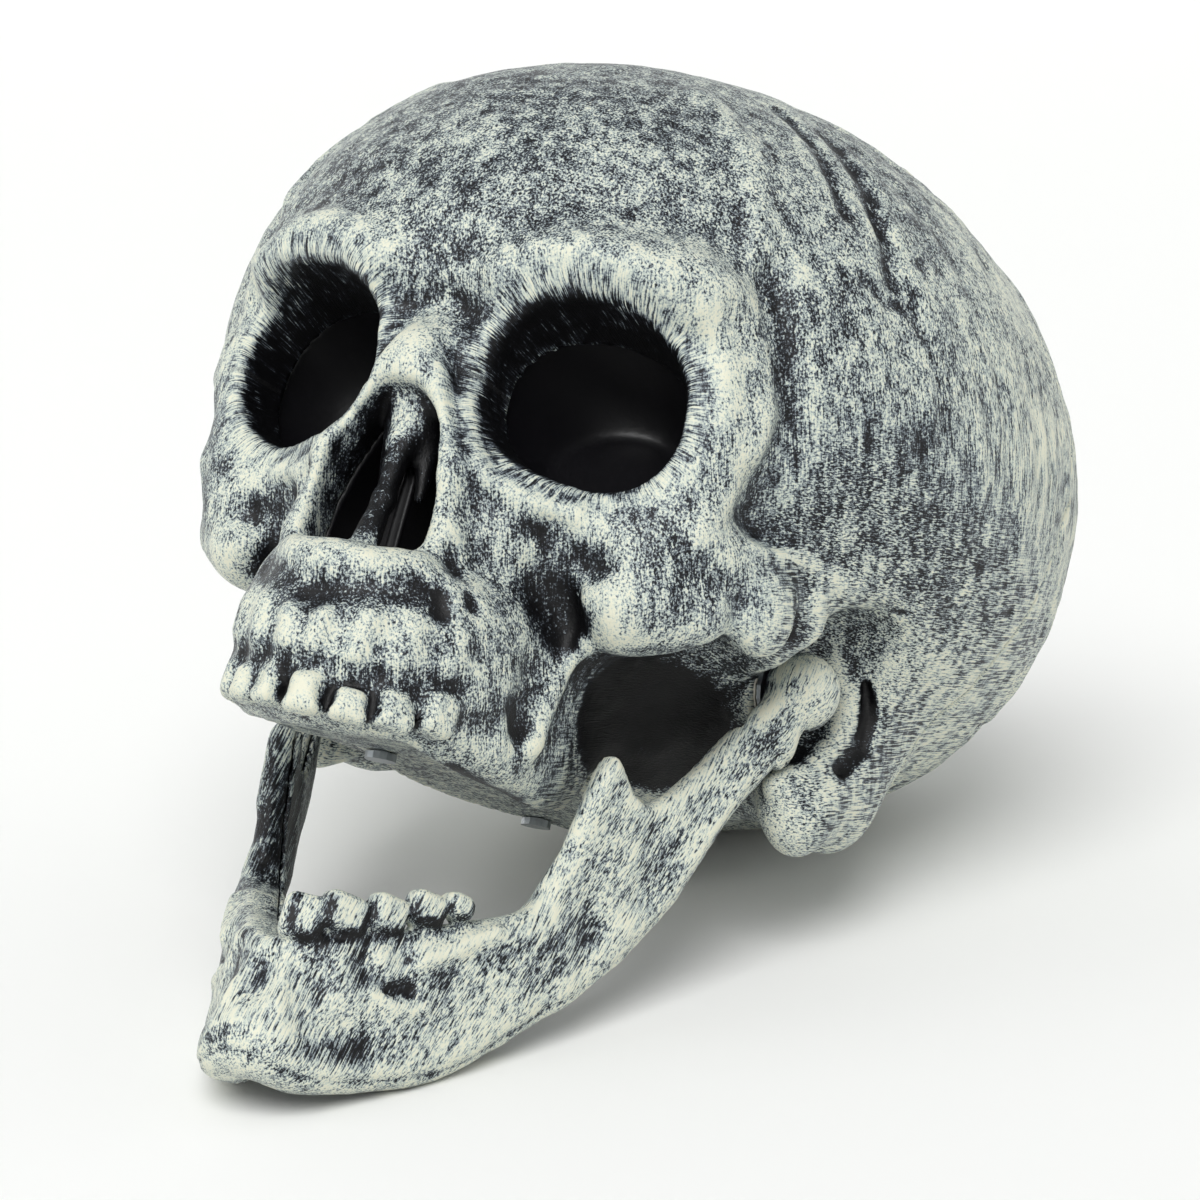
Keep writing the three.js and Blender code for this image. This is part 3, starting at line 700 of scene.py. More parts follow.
def front_shell(points):
    _, shell = head_shell(points)
    shell = np.maximum(shell, points[:, 1] - seam_y + gap / 2)
    for sign in (1, -1):
        shell = np.maximum(shell, -cup_zone(points, sign, gap))
    return np.maximum(shell, -insert_zone(points, gap))


def rear_shell(points):
    """Back of the head, with a lip that reaches into the front shell past the seam"""
    within, shell = head_shell(points)
    y = points[:, 1]
    behind = seam_y + gap / 2 - y
    shell = np.maximum(shell, behind)
    inner = -(within + gap + lip_wall)
    lip = np.maximum(np.maximum(within + gap, inner), np.abs(y - seam_y + 1.5) - lip_length + 1.5)
    collar = np.maximum(np.maximum(within - wall / 2, inner), np.maximum(behind, y - seam_y - 3))
    return np.minimum(shell, np.minimum(lip, collar))


def base_cover(points):
    level, edge = base_parts(points)
    plate = np.maximum(edge, np.abs(level[:, 2] - plate_thick / 2) - plate_thick / 2)
    for x, y in screw_places:
        plate = np.maximum(plate, screw_hole_radius - np.hypot(level[:, 0] - x, level[:, 1] - y))
    return plate


# Flat facet low at the back of a cup: its middle and the way it faces
cup_flat = ((30, -56, 6), (0.25, -0.8, 0.55))


def eye_cup(sign):
    """A bowl whose lower back is a flat facet"""
    middle, facing = [mirrored(np.array(part), sign) for part in cup_flat]

    def field(points):
        facet = (points - np.array(middle)) @ np.array(facing) / np.linalg.norm(facing)
        skin = join(-socket(points, cup_step), facet, 1.5)
        shell = np.abs(skin + wall / 2) - wall / 2
        return np.maximum(shell, cup_zone(points, sign))

    return field


def nose_insert(points):
    skin = -nose_opening(points)
    shell = np.abs(skin + wall / 2) - wall / 2
    shell = np.maximum(shell, insert_zone(points))
    level = hanging(points)
    beyond = np.maximum(insert_front_y - level[:, 1], level[:, 1] - insert_back_y)
    ridge = np.maximum(np.abs(level[:, 0] + 1) - 1.4, beyond)
    ridge = np.maximum(ridge, nose_opening(points, 0.5))
    return np.minimum(shell, ridge)


# Jaw: a band whose middle runs on a plan line from the chin to the knobs
jaw_half_width, jaw_length, jaw_height, jaw_thick, chin_y = 52, 81, 104, 13, -78.5
# Each row: breadth, distance from the chin, top and bottom under the hinge, and thickness, as shares
band_rows = [
    (0, 0, 0.735, 0.975, 0.82),
    (0.087, 0.021, 0.728, 0.99, 0.82),
    (0.173, 0.102, 0.7, 0.98, 0.84),
    (0.285, 0.226, 0.665, 0.94, 0.85),
    (0.385, 0.343, 0.62, 0.892, 0.85),
    (0.463, 0.443, 0.585, 0.826, 0.84),
    (0.519, 0.5, 0.55, 0.782, 0.77),
    (0.569, 0.547, 0.46, 0.741, 0.65),
    (0.613, 0.581, 0.343, 0.712, 0.54),
    (0.642, 0.615, 0.258, 0.684, 0.46),
    (0.667, 0.651, 0.267, 0.649, 0.46),
    (0.696, 0.694, 0.303, 0.608, 0.48),
    (0.725, 0.754, 0.295, 0.554, 0.51),
    (0.779, 0.821, 0.238, 0.47, 0.54),
    (0.837, 0.895, 0.155, 0.351, 0.57),
    (0.913, 0.957, 0.067, 0.243, 0.6),
    (1, 1, 0.01, 0.155, 0.6),
]
band_lean = 0.184
lean_full = 0.45
band_level = hinge_z - jaw_height
parting_share = 0.28
knob_centre = (53.4, hinge_y, hinge_z)
knob_radii = (7.4, 6.6, 7.6)
knob_face = 47.8
pin_hole_radius, pin_hole_end = 2.3, 53.1


def smooth_rows(rows, steps):
    """Rows between the given ones, on a curve through them"""
    rows = np.array(rows, float)
    ends = np.vstack([2 * rows[0] - rows[1], rows, 2 * rows[-1] - rows[-2]])
    ends[0] = rows[1] * [-1, 1, 1, 1, 1]
    made = []
    for k in range(len(rows) - 1):
        a, b, c, d = ends[k : k + 4]
        for t in np.arange(steps) / steps:
            bend = (2 * a - 5 * b + 4 * c - d) * t**2
            made.append(0.5 * (2 * b + (c - a) * t + bend + (3 * b - a - 3 * c + d) * t**3))
    return np.array(made + [rows[-1]])


band = smooth_rows(band_rows, 4)
band_plan = np.stack([band[:, 0] * jaw_half_width, chin_y + band[:, 1] * jaw_length], 1)
band_run = np.concatenate([[0], np.cumsum(np.linalg.norm(np.diff(band_plan, axis=0), axis=1))])
band_top = hinge_z - band[:, 2] * jaw_height
band_bottom = hinge_z - band[:, 3] * jaw_height
band_half = band[:, 4] * jaw_thick / 2


def upright(points):
    """Plan place of a point on the leaning jaw"""
    y = points[:, 1]
    plan_y = y.copy()
    for _ in range(8):
        taken = np.clip((plan_y - chin_y) / (lean_full * jaw_length), 0, 1)
        plan_y = y + band_lean * taken * (points[:, 2] - band_level)
    return np.stack([points[:, 0], plan_y], 1)


def on_band(points):
    """For each point: how far along the band, how far outward of its middle, and its height"""
    plan = upright(points)
    spot = np.stack([np.abs(plan[:, 0]), plan[:, 1]], 1)
    best = np.full(len(spot), 1e9)
    run = np.zeros(len(spot))
    out = np.zeros(len(spot))
    for k in range(len(band_plan) - 1):
        start, end = band_plan[k], band_plan[k + 1]
        share = line_share(spot, start, end)
        away = spot - start - share[:, None] * (end - start)
        length = np.linalg.norm(away, axis=1)
        closer = length < best
        best = np.where(closer, length, best)
        run = np.where(closer, band_run[k] + share * (band_run[k + 1] - band_run[k]), run)
        along = (end - start) / np.linalg.norm(end - start)
        outward = along[1] * away[:, 0] - along[0] * away[:, 1]
        out = np.where(closer, np.where(outward < 0, -length, length), out)
    return run, out, points[:, 2]


def band_distance(run, out, z, grow=0.0):
    top = np.interp(run, band_run, band_top)
    bottom = np.interp(run, band_run, band_bottom)
    half = np.interp(run, band_run, band_half) + grow
    top_slope = np.interp(run, band_run, np.gradient(band_top, band_run))
    bottom_slope = np.interp(run, band_run, np.gradient(band_bottom, band_run))
    above = (z - top) / np.hypot(1, top_slope) - grow
    below = (bottom - z) / np.hypot(1, bottom_slope) - grow
    upright_past = -join(-above, -below, 2)
    round_edge = half * 0.8
    past = np.stack([np.abs(out) - half + round_edge, upright_past + round_edge], 1)
    return np.linalg.norm(np.maximum(past, 0), axis=1) + np.minimum(past.max(1), 0) - round_edge


# Lower crowns: share of the band's length, half width, half height and height over the band
lower_crowns = [
    (0.036, 3.9, 4.3, 6.4),
    (0.093, 4.4, 3.7, 6.8),
    (0.149, 3.7, 3.6, 6.3),
    (0.192, 3.6, 3.3, 6.7),
    (0.232, 3.0, 2.4, 5.4),
]
lower_reach = 2.4

jaw_marks = {
    "crown necks": (
        both, 1.2, -1.6,
        [(0, -85, -90.5), (5, -84, -91), (10, -79.5, -90), (14.5, -72.5, -87), (18.5, -66, -82.5),
         (22.5, -61.5, -79.5), (25.5, -57, -78)],
    ),
    "hollow under lip": (both, 7, -2.0, [(0, -85, -96), (5, -84, -97)]),
    "ridge under first tooth": (both, 1.9, 1.6, [(2.6, -83.5, -92.5), (3.8, -82.5, -98), (5.2, -83, -104)]),
    "first root hollow": (both, 2.8, -1.5, [(9.3, -79.5, -95), (9.5, -79, -99.5)]),
    "second root hollow": (both, 2.5, -1.5, [(13.8, -73.6, -91), (14.5, -72.8, -94)]),
    "third root hollow": (both, 2.2, -1.2, third_root_hollow),
    "nerve hole": (both, 1.2, -1.7, nerve_hole),
    "lip of nerve hole": (both, 1.5, 0.9, [(15.5, -71, -96.5), (18.3, -67, -98.4), (21.5, -62.5, -96.5)]),
    "slanting ridge": (both, 1.7, 1.4, slanting_ridge),
    "chin pad": (both, 6, 0.4, [(3, -84, -109), (9, -80, -112)]),
    "hollow over chin edge": (both, 3.5, -1.1, [(9, -78, -106.5), (16, -70.5, -105.5)]),
    "ramp of ramus": (both, 5, -1.0, [(34, -44, -62), (36, -38, -72)]),
    "rear edge": (both, 2.5, 0.8, [(49, -20, -37), (46, -22, -50), (42.5, -24, -60), (37, -34, -75)]),
    "front edge of ramus": (both, 1.6, 0.9, [(35, -43, -44), (31.5, -44.5, -56), (28.5, -46, -67)]),
    "empty socket": (far, 2.2, -3.5, [(1, -86, -84), (6, -83.5, -82)]),
    "twisted stump": (far, 1.5, 3.0, [(2.5, -88, -83), (5, -86, -80.5), (8, -82, -80)]),
    "second stump": (far, 1.4, 2.6, [(9.5, -81, -79), (12, -77, -77), (13, -74, -78)]),
    "second empty socket": (far, 2, -3, [(8.5, -79, -81), (10, -77, -81)]),
}


def over_band(share, height, reach):
    """Point over the band's top at a share of its length, and the way that its face looks"""
    row = share * (len(band) - 1)
    at = np.array([np.interp(row, np.arange(len(band)), band_plan[:, k]) for k in (0, 1)])
    ahead = np.array([np.interp(row + 1, np.arange(len(band)), band_plan[:, k]) for k in (0, 1)])
    along = (ahead - at) / np.linalg.norm(ahead - at)
    out = np.array([along[1], -along[0]])
    z = np.interp(row, np.arange(len(band)), band_top) + height
    x, y = at + reach * out
    taken = np.clip((y - chin_y) / (lean_full * jaw_length), 0, 1)
    y -= band_lean * taken * (z - band_level)
    return (x, y, z), math.atan2(out[1], out[0]) + math.pi / 2


def lower_teeth(points):
    distance = np.full(len(points), 1e3)
    for share, half_width, half_height, top in lower_crowns:
        centre, facing = over_band(share, top - half_height, lower_reach)
        crown = block(points, centre, (half_width, crown_depth, half_height), facing, crown_round)
        distance = np.minimum(distance, crown)
    return distance


def beside_edge(run, out, z):
    """1 on the moulding line, 2 mm over the lower edge on the jaw's outside"""
    height = z - np.interp(run, band_run, band_bottom)
    return np.exp(-(((height - 2) / 0.5) ** 2)) * (out > 0)


def jaw_body(points):
    run, out, z = on_band(points)
    form = band_distance(run, out, z)
    core = join(form, mass(points, (0, -79.4, -110), (8, 5.6, 7)), 3)
    form = core - marked(points, jaw_marks, mirrored_flat)
    close = np.flatnonzero(np.abs(form) < skin_depth)
    form[close] += 0.12 * unevenness.at(points[close], 2.6) + 0.22 * unevenness.at(points[close], 8)
    form += 0.35 * beside_edge(run, out, z)
    shell = np.maximum(form, -(np.maximum(core, form) + wall))
    return run, out, form, shell


def jaw_solid(points):
    return jaw_body(points)[2]


def mandible_outer(points):
    """Outer side of the parted jaw with the teeth, the knobs at the joint and the holes for their pins"""
    run, out, _, shell = jaw_body(points)
    half = np.interp(run, band_run, band_half)
    inset = 2 * parting_share * half
    shell = np.maximum(shell, -out - inset + gap / 2)
    teeth = np.maximum(lower_teeth(points), -out - inset + gap / 2)
    shell = join(shell, teeth, 1)
    for sign in (1, -1):
        knob = mass(points, mirrored_flat(knob_centre, sign), knob_radii)
        knob = np.maximum(knob, knob_face - sign * points[:, 0])
        shell = join(shell, knob, 3)
        shell = np.maximum(shell, -bar_x(points, pin_hole_radius, sign * 40, sign * pin_hole_end))
        shell = np.maximum(shell, np.where(sign * points[:, 0] > 0, knob_clear(points, sign), -1e3))
    return shell


def knob_clear(points, sign):
    """Keeps the jaw outside the pin's washer and bush"""
    return -bar_x(points, 14, sign * 30, sign * knob_face)


def mandible_inner(points):
    run, out, _, shell = jaw_body(points)
    half = np.interp(run, band_run, band_half)
    shell = np.maximum(shell, out + 2 * parting_share * half + gap / 2)
    for sign in (1, -1):
        knob = mass(points, mirrored_flat(knob_centre, sign), np.add(knob_radii, gap + 0.3))
        shell = np.maximum(shell, -knob)
        shell = np.maximum(shell, np.where(sign * points[:, 0] > 0, knob_clear(points, sign), -1e3))
    return shell


# Meshes
def mesh_object(name, verts, quads):
    """A smooth mesh of the given points and four-sided faces, in the frame's place and metres"""
    mesh = bpy.data.meshes.new(name)
    mesh.vertices.add(len(verts))
    mesh.vertices.foreach_set("co", placed(verts).astype(np.float32).ravel())
    mesh.loops.add(quads.size)
    mesh.loops.foreach_set("vertex_index", quads.astype(np.int32).ravel())
    mesh.polygons.add(len(quads))
    mesh.polygons.foreach_set("loop_start", np.arange(0, quads.size, 4, dtype=np.int32))
    mesh.polygons.foreach_set("loop_total", np.full(len(quads), 4, np.int32))
    mesh.update(calc_edges=True)
    mesh.validate()
    mesh.polygons.foreach_set("use_smooth", np.ones(len(quads), bool))
    made = bpy.data.objects.new(name, mesh)
    bpy.context.scene.collection.objects.link(made)
    return made


def make_piece(name, cad_node, body, slot, field, box, cell):
    """Makes one visible piece from its field, hangs it on its body, hides the solid that it stands for and notes
    its finish
    """
    verts, quads = skin_of(field, box, cell)
    verts = settle(field, verts, cell, 2)
    made = mesh_object(name, verts, quads)
    if slot == "painted_shell":
        solid, cover_of = (jaw_solid, jaw_cover) if body == "jaw" else (head, head_cover)
        if cad_node == "base_cover":
            solid, cover_of = field, plate_cover
        paint_shell(made, verts, quads, solid, cover_of, cell, body == "jaw")
    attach(made, body)
    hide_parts(cad_node)
    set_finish(made, slot)
    return made


# Paint: how much of it each point of a shell holds, from its relief and where it is
def near_average(values, pairs, count):
    """Mean of the values at each point's neighbours"""
    weight = np.bincount(pairs.ravel(), minlength=count)
    total = np.zeros_like(values)
    for k in range(values.shape[1]):
        total[:, k] = np.bincount(pairs[:, 0], values[pairs[:, 1], k], count)
        total[:, k] += np.bincount(pairs[:, 1], values[pairs[:, 0], k], count)
    return total / np.maximum(weight, 1)[:, None]


def relief(verts, quads, normals, spread, edge):
    """How far each point stands out of the surface around it, within about the spread"""
    pairs = np.concatenate([quads[:, [0, 1]], quads[:, [1, 2]], quads[:, [2, 3]], quads[:, [3, 0]]])
    smooth = verts
    for _ in range(max(1, round((spread / edge) ** 2 / 1.6))):
        smooth = 0.4 * smooth + 0.6 * near_average(smooth, pairs, len(verts))
    return ((verts - smooth) * normals).sum(1)


def openness(field, verts, normals):
    """1 on an open surface, less where other surfaces close it in; the paint turns this into bare plastic and
    painted shade in hollows
    """
    shut = np.zeros(len(verts))
    for reach, share in ((2.5, 0.35), (7, 0.35), (15, 0.3)):
        room = in_parts(field, verts + reach * normals)
        shut += share * np.clip(1 - room / reach, 0, 1)
    return 1 - shut


def smooth_step(value, low, high):
    share = np.clip((value - low) / (high - low), 0, 1)
    return share * share * (3 - 2 * share)


head_paint = {
    "far brow band": (far, 4.5, 0.16, brow_band),
    "brow band": (both, 3.4, 0.08, brow_band),
    "brow end": (both, 4, 0.3, [(44, -82, 34), (48, -77, 31), (50, -72, 26)]),
    "outer rim": (both, 3.6, 0.34, [(50, -73, 27), (53, -67.5, 15), (53.5, -61, 5), (53, -62, -4)]),
    "outer rim highlight": (both, 2.6, 0.2, [(55, -66, 22), (56.5, -61, 14), (55, -58, 4)]),
    "lower rim of socket": (
        both, 2.6, 0.36,
        [(15, -83, -3), (20, -80.5, -7), (27, -76, -8), (35, -73, -7), (43, -70, -1)],
    ),
    "inner rim": (both, 2, 0.3, [(9.5, -86, 9), (11, -85, 2), (15, -83, -3)]),
    "nose bone": (both, 3, 0.34, [(0, -88, 19), (0, -93, 12)]),
    "rim of nose": (both, 2, 0.22, [(5, -91, 8), (11, -89.5, -3), (13, -88.5, -12), (13.5, -88, -20)]),
    "root of nose": (both, 5, 0.06, [(0, -84, 25), (5, -84, 20)]),
    "side of nose": (both, 3, -0.12, [(8, -88, 17), (10, -87, 7), (13.5, -86, -2), (17.5, -84, -12)]),
    "inner wall of socket": (both, 4, -0.12, [(10, -82, 24), (11, -80, 14), (14, -79, 4)]),
    "septum": (near, 3, 0.12, [(-0.5, -87, 6), (-1.2, -87, -3), (1.2, -93, -24)]),
    "rim under nose": (both, 2.4, 0.4, [(0, -98, -28), (7, -97, -28), (14, -89, -25)]),
    "band over teeth": (
        both, 3.4, -0.3,
        [(-3, -100, -36), (5, -100, -34.5), (12, -97, -33), (18, -91, -31)],
    ),
    "root patches": (both, 2.8, 0.36, [(3, -101, -43), (8, -100, -42.5), (14, -95, -40), (18, -91, -38)]),
    "outer root patch": (both, 2, 0.25, [(22, -85, -42), (25, -79, -40)]),
    "over crowns": (
        both, 1.8, -0.4,
        [(-7, -100, -47.5), (3, -101.5, -48.8), (12, -98.5, -49.8), (18.5, -93, -48), (23.5, -86, -45.6)],
    ),
    "crowns": (
        both, 2.4, 0.55,
        [(-6.5, -99, -52), (3.2, -101, -54), (12, -98, -54.8), (18.3, -92.5, -53.5), (23.4, -85.5, -51)],
    ),
    "gap of front teeth": (near, 2.2, -1.0, [(-2.2, -100.5, -50), (-1.6, -100.5, -54)]),
    "pit after first tooth": (near, 1.6, -0.9, [(6.9, -98.5, -52), (7.2, -98.5, -54.5)]),
    "slot after second tooth": (near, 1.3, -0.9, [(13.9, -95.5, -48.5), (15, -94.5, -55)]),
    "pit after third tooth": (near, 1.6, -0.9, [(20.6, -90, -48), (20.9, -89.5, -52)]),
    "behind last crown": (both, 3.2, -0.4, [(26, -80, -49), (27.5, -75, -48)]),
    "empty tooth place": (both, 3, -0.9, empty_tooth_place),
    "last crown": (both, 2.2, 0.4, [(30, -63.5, -47), (30, -60.5, -47)]),
    "crest of upper jaw": (both, 2.6, 0.3, [(31, -61, -31), (29, -60.5, -38), (28.8, -61, -47)]),
    "pits beside nose": (near, 2, -1.1, [(17.2, -85, -21.5), (18, -84.5, -22.5)]),
    "lower pit": (near, 1.9, -0.9, [(19.3, -89.5, -31), (19.6, -89.2, -33.5)]),
    "outer pit": (near, 1.5, -0.8, [(22.3, -84.5, -28.5), (22.5, -84, -29.5)]),
    # Painted shade: a darker band along the groove under the cheek
    "painted shade under cheek": (both, 3, -0.5, [(26, -76, -12), (31, -73, -14.5), (36, -71, -15)]),
    "hollow of cheek": (both, 4.8, -0.7, [(28, -70, -19.5), (31.5, -66.5, -23)]),
    "front of cheek": (both, 4.5, 0.5, [(36, -70, -20), (40, -69, -21), (40, -66, -24.5)]),
    "lower edge of cheek": (both, 3, 0.3, [(42, -64, -24), (50, -58, -19.5), (56, -48, -15)]),
    "patch on cheek": (both, 5, -0.16, [(45, -69, -8), (50, -66, -12)]),
    "upper edge of arch": (both, 2.4, 0.42, [(55, -57, -2), (59, -46, 0), (62, -34, 1.5), (64, -26, 2)]),
    "end of arch": (both, 3, 0.22, [(61.5, -33, -4), (61.5, -29, -8)]),
    "patch on arch": (both, 3, -0.35, [(58.5, -44, -6), (59.5, -40, -9)]),
    "notch under arch": (both, 3, -0.7, [(58.5, -37, -10.5), (60, -34, -12)]),
    "under the arch": (both, 11, -0.55, [(42, -45, -28), (46, -28, -24)]),
    "deep under arch": (both, 7, -0.5, [(34, -50, -30), (40, -30, -30)]),
    "wall behind upper jaw": (both, 6, -0.12, [(28, -52, -44), (26, -32, -42)]),
    "edge of wall": (near, 2, -0.9, [(20, -72, -56), (20.5, -49, -53.3), (21, -30, -51.5)]),
    "ear ridge": (
        both, 1.7, 0.4,
        [(54, -3, -4), (57.5, 0.5, -9.5), (57.5, 1, -15), (56.5, 0, -20), (56, -6, -28), (51, -10.5, -32.5)],
    ),
    "in front of ear ridge": (both, 3, -0.8, [(53, -5, -10), (53, -4, -17), (53, -7, -24)]),
    "groove behind ear": (
        both, 1.6, -0.75,
        [(59.5, 2.5, -5), (60.5, 5, -12), (60.5, 5, -19), (59, 1, -26), (55, -6, -34)],
    ),
    "mastoid": (both, 9, 0.24, [(56, -4, -38), (59, 6, -28)]),
    "temple": (both, 19, -0.1, [(68, -40, 16), (76, -12, 18)]),
    "light over ear": (both, 8, 0.16, [(66, -18, -2), (72, 6, 2), (70, 26, -4)]),
    "temple line": (both, 4, 0.14, temple_line),
    "temple groove": (both, 2.2, -0.3, temple_groove),
    "upper temple groove": (near, 1.8, -0.24, upper_temple_groove),
    "forked wrinkle": (near, 1.5, -0.3, forked_wrinkle),
    "left suture": (near, 1.2, -0.3, left_suture),
    "right suture": (near, 1.2, -0.3, right_suture),
    "top suture": (near, 1.2, -0.3, top_suture),
    "mould line": (near, 0.8, -0.45, mould_line),
    "behind outer rim": (
        both, 3, -0.2,
        [(54, -65, 44), (57, -60, 33), (58, -56, 25), (59.5, -54, 10), (58.5, -51, 4)],
    ),
    "shade on forehead": (both, 16, -0.1, [(12, -84, 55), (10, -74, 74)]),
    "shade over far brow": (far, 10, -0.12, [(30, -86, 46), (34, -80, 56)]),
    "light on side": (both, 16, 0.1, [(72, -20, 50), (76, 8, 44)]),
}
jaw_paint = {
    "crown faces": (
        both, 2.4, 0.35,
        [(4, -87, -86.5), (9.5, -82.5, -86), (14.5, -75, -82.5), (19, -68, -78.5), (22, -63.5, -76)],
    ),
    "tops of back crowns": (both, 1.8, -0.8, [(16, -68, -74.5), (19.5, -63, -71.5), (22.5, -58, -70.5)]),
    "first root hollow": (both, 3, -0.34, [(9.3, -79.5, -94), (9.8, -79, -101)]),
    "second root hollow": (both, 2.6, -0.4, [(13.8, -73.6, -90.5), (14.8, -72.5, -95)]),
    "third root hollow": (both, 2, -0.3, third_root_hollow),
    "nerve hole": (both, 1.4, -0.7, nerve_hole),
    "beside nerve hole": (both, 3, -0.3, [(20, -65, -92.5), (23, -60, -90)]),
    "lip of nerve hole": (both, 1.4, 0.3, [(15.5, -71, -97), (18.3, -67, -99), (21.5, -62.5, -97)]),
    "slanting ridge": (both, 1.8, 0.35, slanting_ridge),
    "under back crowns": (both, 2.4, 0.2, [(20, -65, -84), (25, -58, -81)]),
    "behind slanting ridge": (both, 3.6, -0.22, [(27, -55, -84), (31, -48, -78)]),
    "ridge under first tooth": (both, 2, 0.25, [(2.6, -84, -93), (3.8, -83, -99), (5.2, -83.5, -105)]),
    "chin hollow": (far, 4, -0.28, [(2, -84, -96), (3, -84.5, -103)]),
    "streaks over chin edge": (both, 2.4, -0.55, [(7, -81.5, -111), (13, -74, -109.5), (19, -66.5, -106)]),
    "streaks on far chin": (far, 2, -0.5, [(1, -86, -110.5), (5, -84, -112)]),
    "point of ramus": (both, 7, 0.18, [(36, -43, -46), (35, -43, -54)]),
    "edge of ramus": (both, 1.6, -0.3, [(34.5, -44.5, -45), (31, -45.5, -57), (27.5, -47, -68)]),
    "middle of ramus": (both, 7, -0.08, [(38, -38, -62), (33, -46, -74)]),
    "back of ramus": (
        both, 2.2, 0.25,
        [(50, -18.5, -36), (46.5, -21.5, -50), (43, -23.5, -60), (37.5, -33.5, -75)],
    ),
    "dark line before back edge": (both, 1.8, -0.4, [(49, -24, -37), (45.5, -27, -48), (43, -29, -55)]),
    "corner of ramus": (both, 4, -0.22, [(37, -36, -73), (34, -41, -79)]),
    "lower edge": (both, 3, 0.16, [(30, -48, -93), (22, -60, -105), (12, -73, -113)]),
    "knob": (both, 6, 0.22, [(57, -13, -14)]),
    "neck patch": (both, 2.6, -0.3, [(54, -18, -21), (52, -19, -28)]),
    "front of far ramus": (
        far, 4.5, -0.6,
        [(34.5, -44.5, -45), (31, -45.5, -57), (27.5, -47, -68), (26, -51, -76)],
    ),
    "empty sockets": (far, 3, -0.7, [(1, -85, -84), (6, -82.5, -82), (9, -78, -81)]),
    "inside of far ramus": (far, 5, -0.6, [(36, -36, -50), (33, -42, -62)]),
}


def head_cover(points):
    """Half covered, lighter on the sides and back, bare in the sockets, in the nose and under the arch, with
    painted shade among its marks
    """
    y, z = points[:, 1], points[:, 2]
    cover = 0.52 + 0.15 * smooth_step(y, -40, 0) * smooth_step(z, 18, 40)
    cover += 0.12 * smooth_step(y, 5, 50) * (1 - 0.5 * smooth_step(z, 18, 40))
    cover += 0.78 * marked(points, head_paint)
    cover -= 1.3 * smooth_step(-socket(points, 2.0), 0.6, 4)
    cover -= 0.8 * smooth_step(-nose_opening(points, 0.5), 1, 5) * smooth_step(-z, -4, 6)
    under_arch = mass(evened(hanging(points)), (37, -27, -29), (19.5, 24, 15.5))
    cover -= 0.9 * smooth_step(-under_arch, 0, 4)
    return cover


def around_crowns():
    """Dark gaps between the crowns of the lower jaw, and the dark line under them"""
    shares = [crown[0] for crown in lower_crowns]
    gaps = {}
    for number, (share, after) in enumerate(zip([0.008] + shares, shares + [0.262])):
        middle = (share + after) / 2
        line = [over_band(middle, height, lower_reach + crown_depth)[0] for height in (6, 2.5, 0)]
        gaps[f"gap {number}"] = (both, 1.2, -1.1, line)
    feet = [(share, top - 2 * half) for share, _, half, top in lower_crowns]
    necks = [over_band(share, foot, lower_reach + crown_depth)[0] for share, foot in feet]
    gaps["necks"] = (both, 1.5, -1.1, necks)
    return gaps


def jaw_cover(points):
    """Well covered outside, little inside, and bare between the crowns"""
    run, out, z = on_band(points)
    cover = 0.7 - 0.42 * smooth_step(-out, 0, 2) - 0.25 * beside_edge(run, out, z)
    return cover + 0.8 * marked(points, jaw_paint | around_crowns(), mirrored_flat)


def plate_cover(points):
    return np.full(len(points), 0.56)


def brush_weights(points, on_jaw):
    """How strongly brush strokes run down the side, front to back, and out of the sockets"""
    y, z = points[:, 1], points[:, 2]
    if on_jaw:
        return np.ones(len(points)), 0 * y, 0 * y
    down = 0.55 + 0.45 * smooth_step(y, -60, 0) * smooth_step(z, 20, 45)
    along = smooth_step(y, -60, -40) * (1 - smooth_step(z, 15, 38))
    around = np.exp(-(np.clip(socket(points), 0, None) / 5.5) ** 2)
    return down, along, around


head_stroke, temple_stroke, jaw_stroke = (0, 0.52, -0.85), (0, 0.92, 0.4), (0.15, 0.3, 0.94)
socket_turn_length = 22


def stroke_place(points, way):
    """Places whose third number runs along the way of the strokes"""
    way = np.array(way) / np.linalg.norm(way)
    along = points @ way
    aside = points - along[:, None] * way
    across = aside[:, 1] * abs(way[2]) - aside[:, 2] * way[1] * np.sign(way[2])
    return np.stack([points[:, 0], across, along], 1)


def radial_place(points):
    """Places by turn round the eye socket, distance from its middle, and depth"""
    sign = side_of(points)
    x, _, z = socket_centre
    across = points[:, 0] - sign * x
    height = points[:, 2] - z + sign * droop_share * x
    radius = np.hypot(across, height)
    return np.stack([np.arctan2(height, across) * socket_turn_length, radius, points[:, 1]], 1)


def give(mesh, name, kind, values):
    layer = mesh.attributes.new(name, kind, "POINT")
    field = "vector" if kind == "FLOAT_VECTOR" else "value"
    layer.data.foreach_set(field, values.astype(np.float32).ravel())


# Paint catches on what stands out, at two sizes of relief, and thins into bare plastic and painted shade where
# other surfaces close in
fine_spread, fine_gain, fine_most = 1.6, 0.9, 0.35
wide_spread, wide_gain, wide_most = 5, 0.32, 1.2
open_enough, hollow_shade_gain = 0.72, 1.2
thick_paint, thick_share = 0.66, 0.45


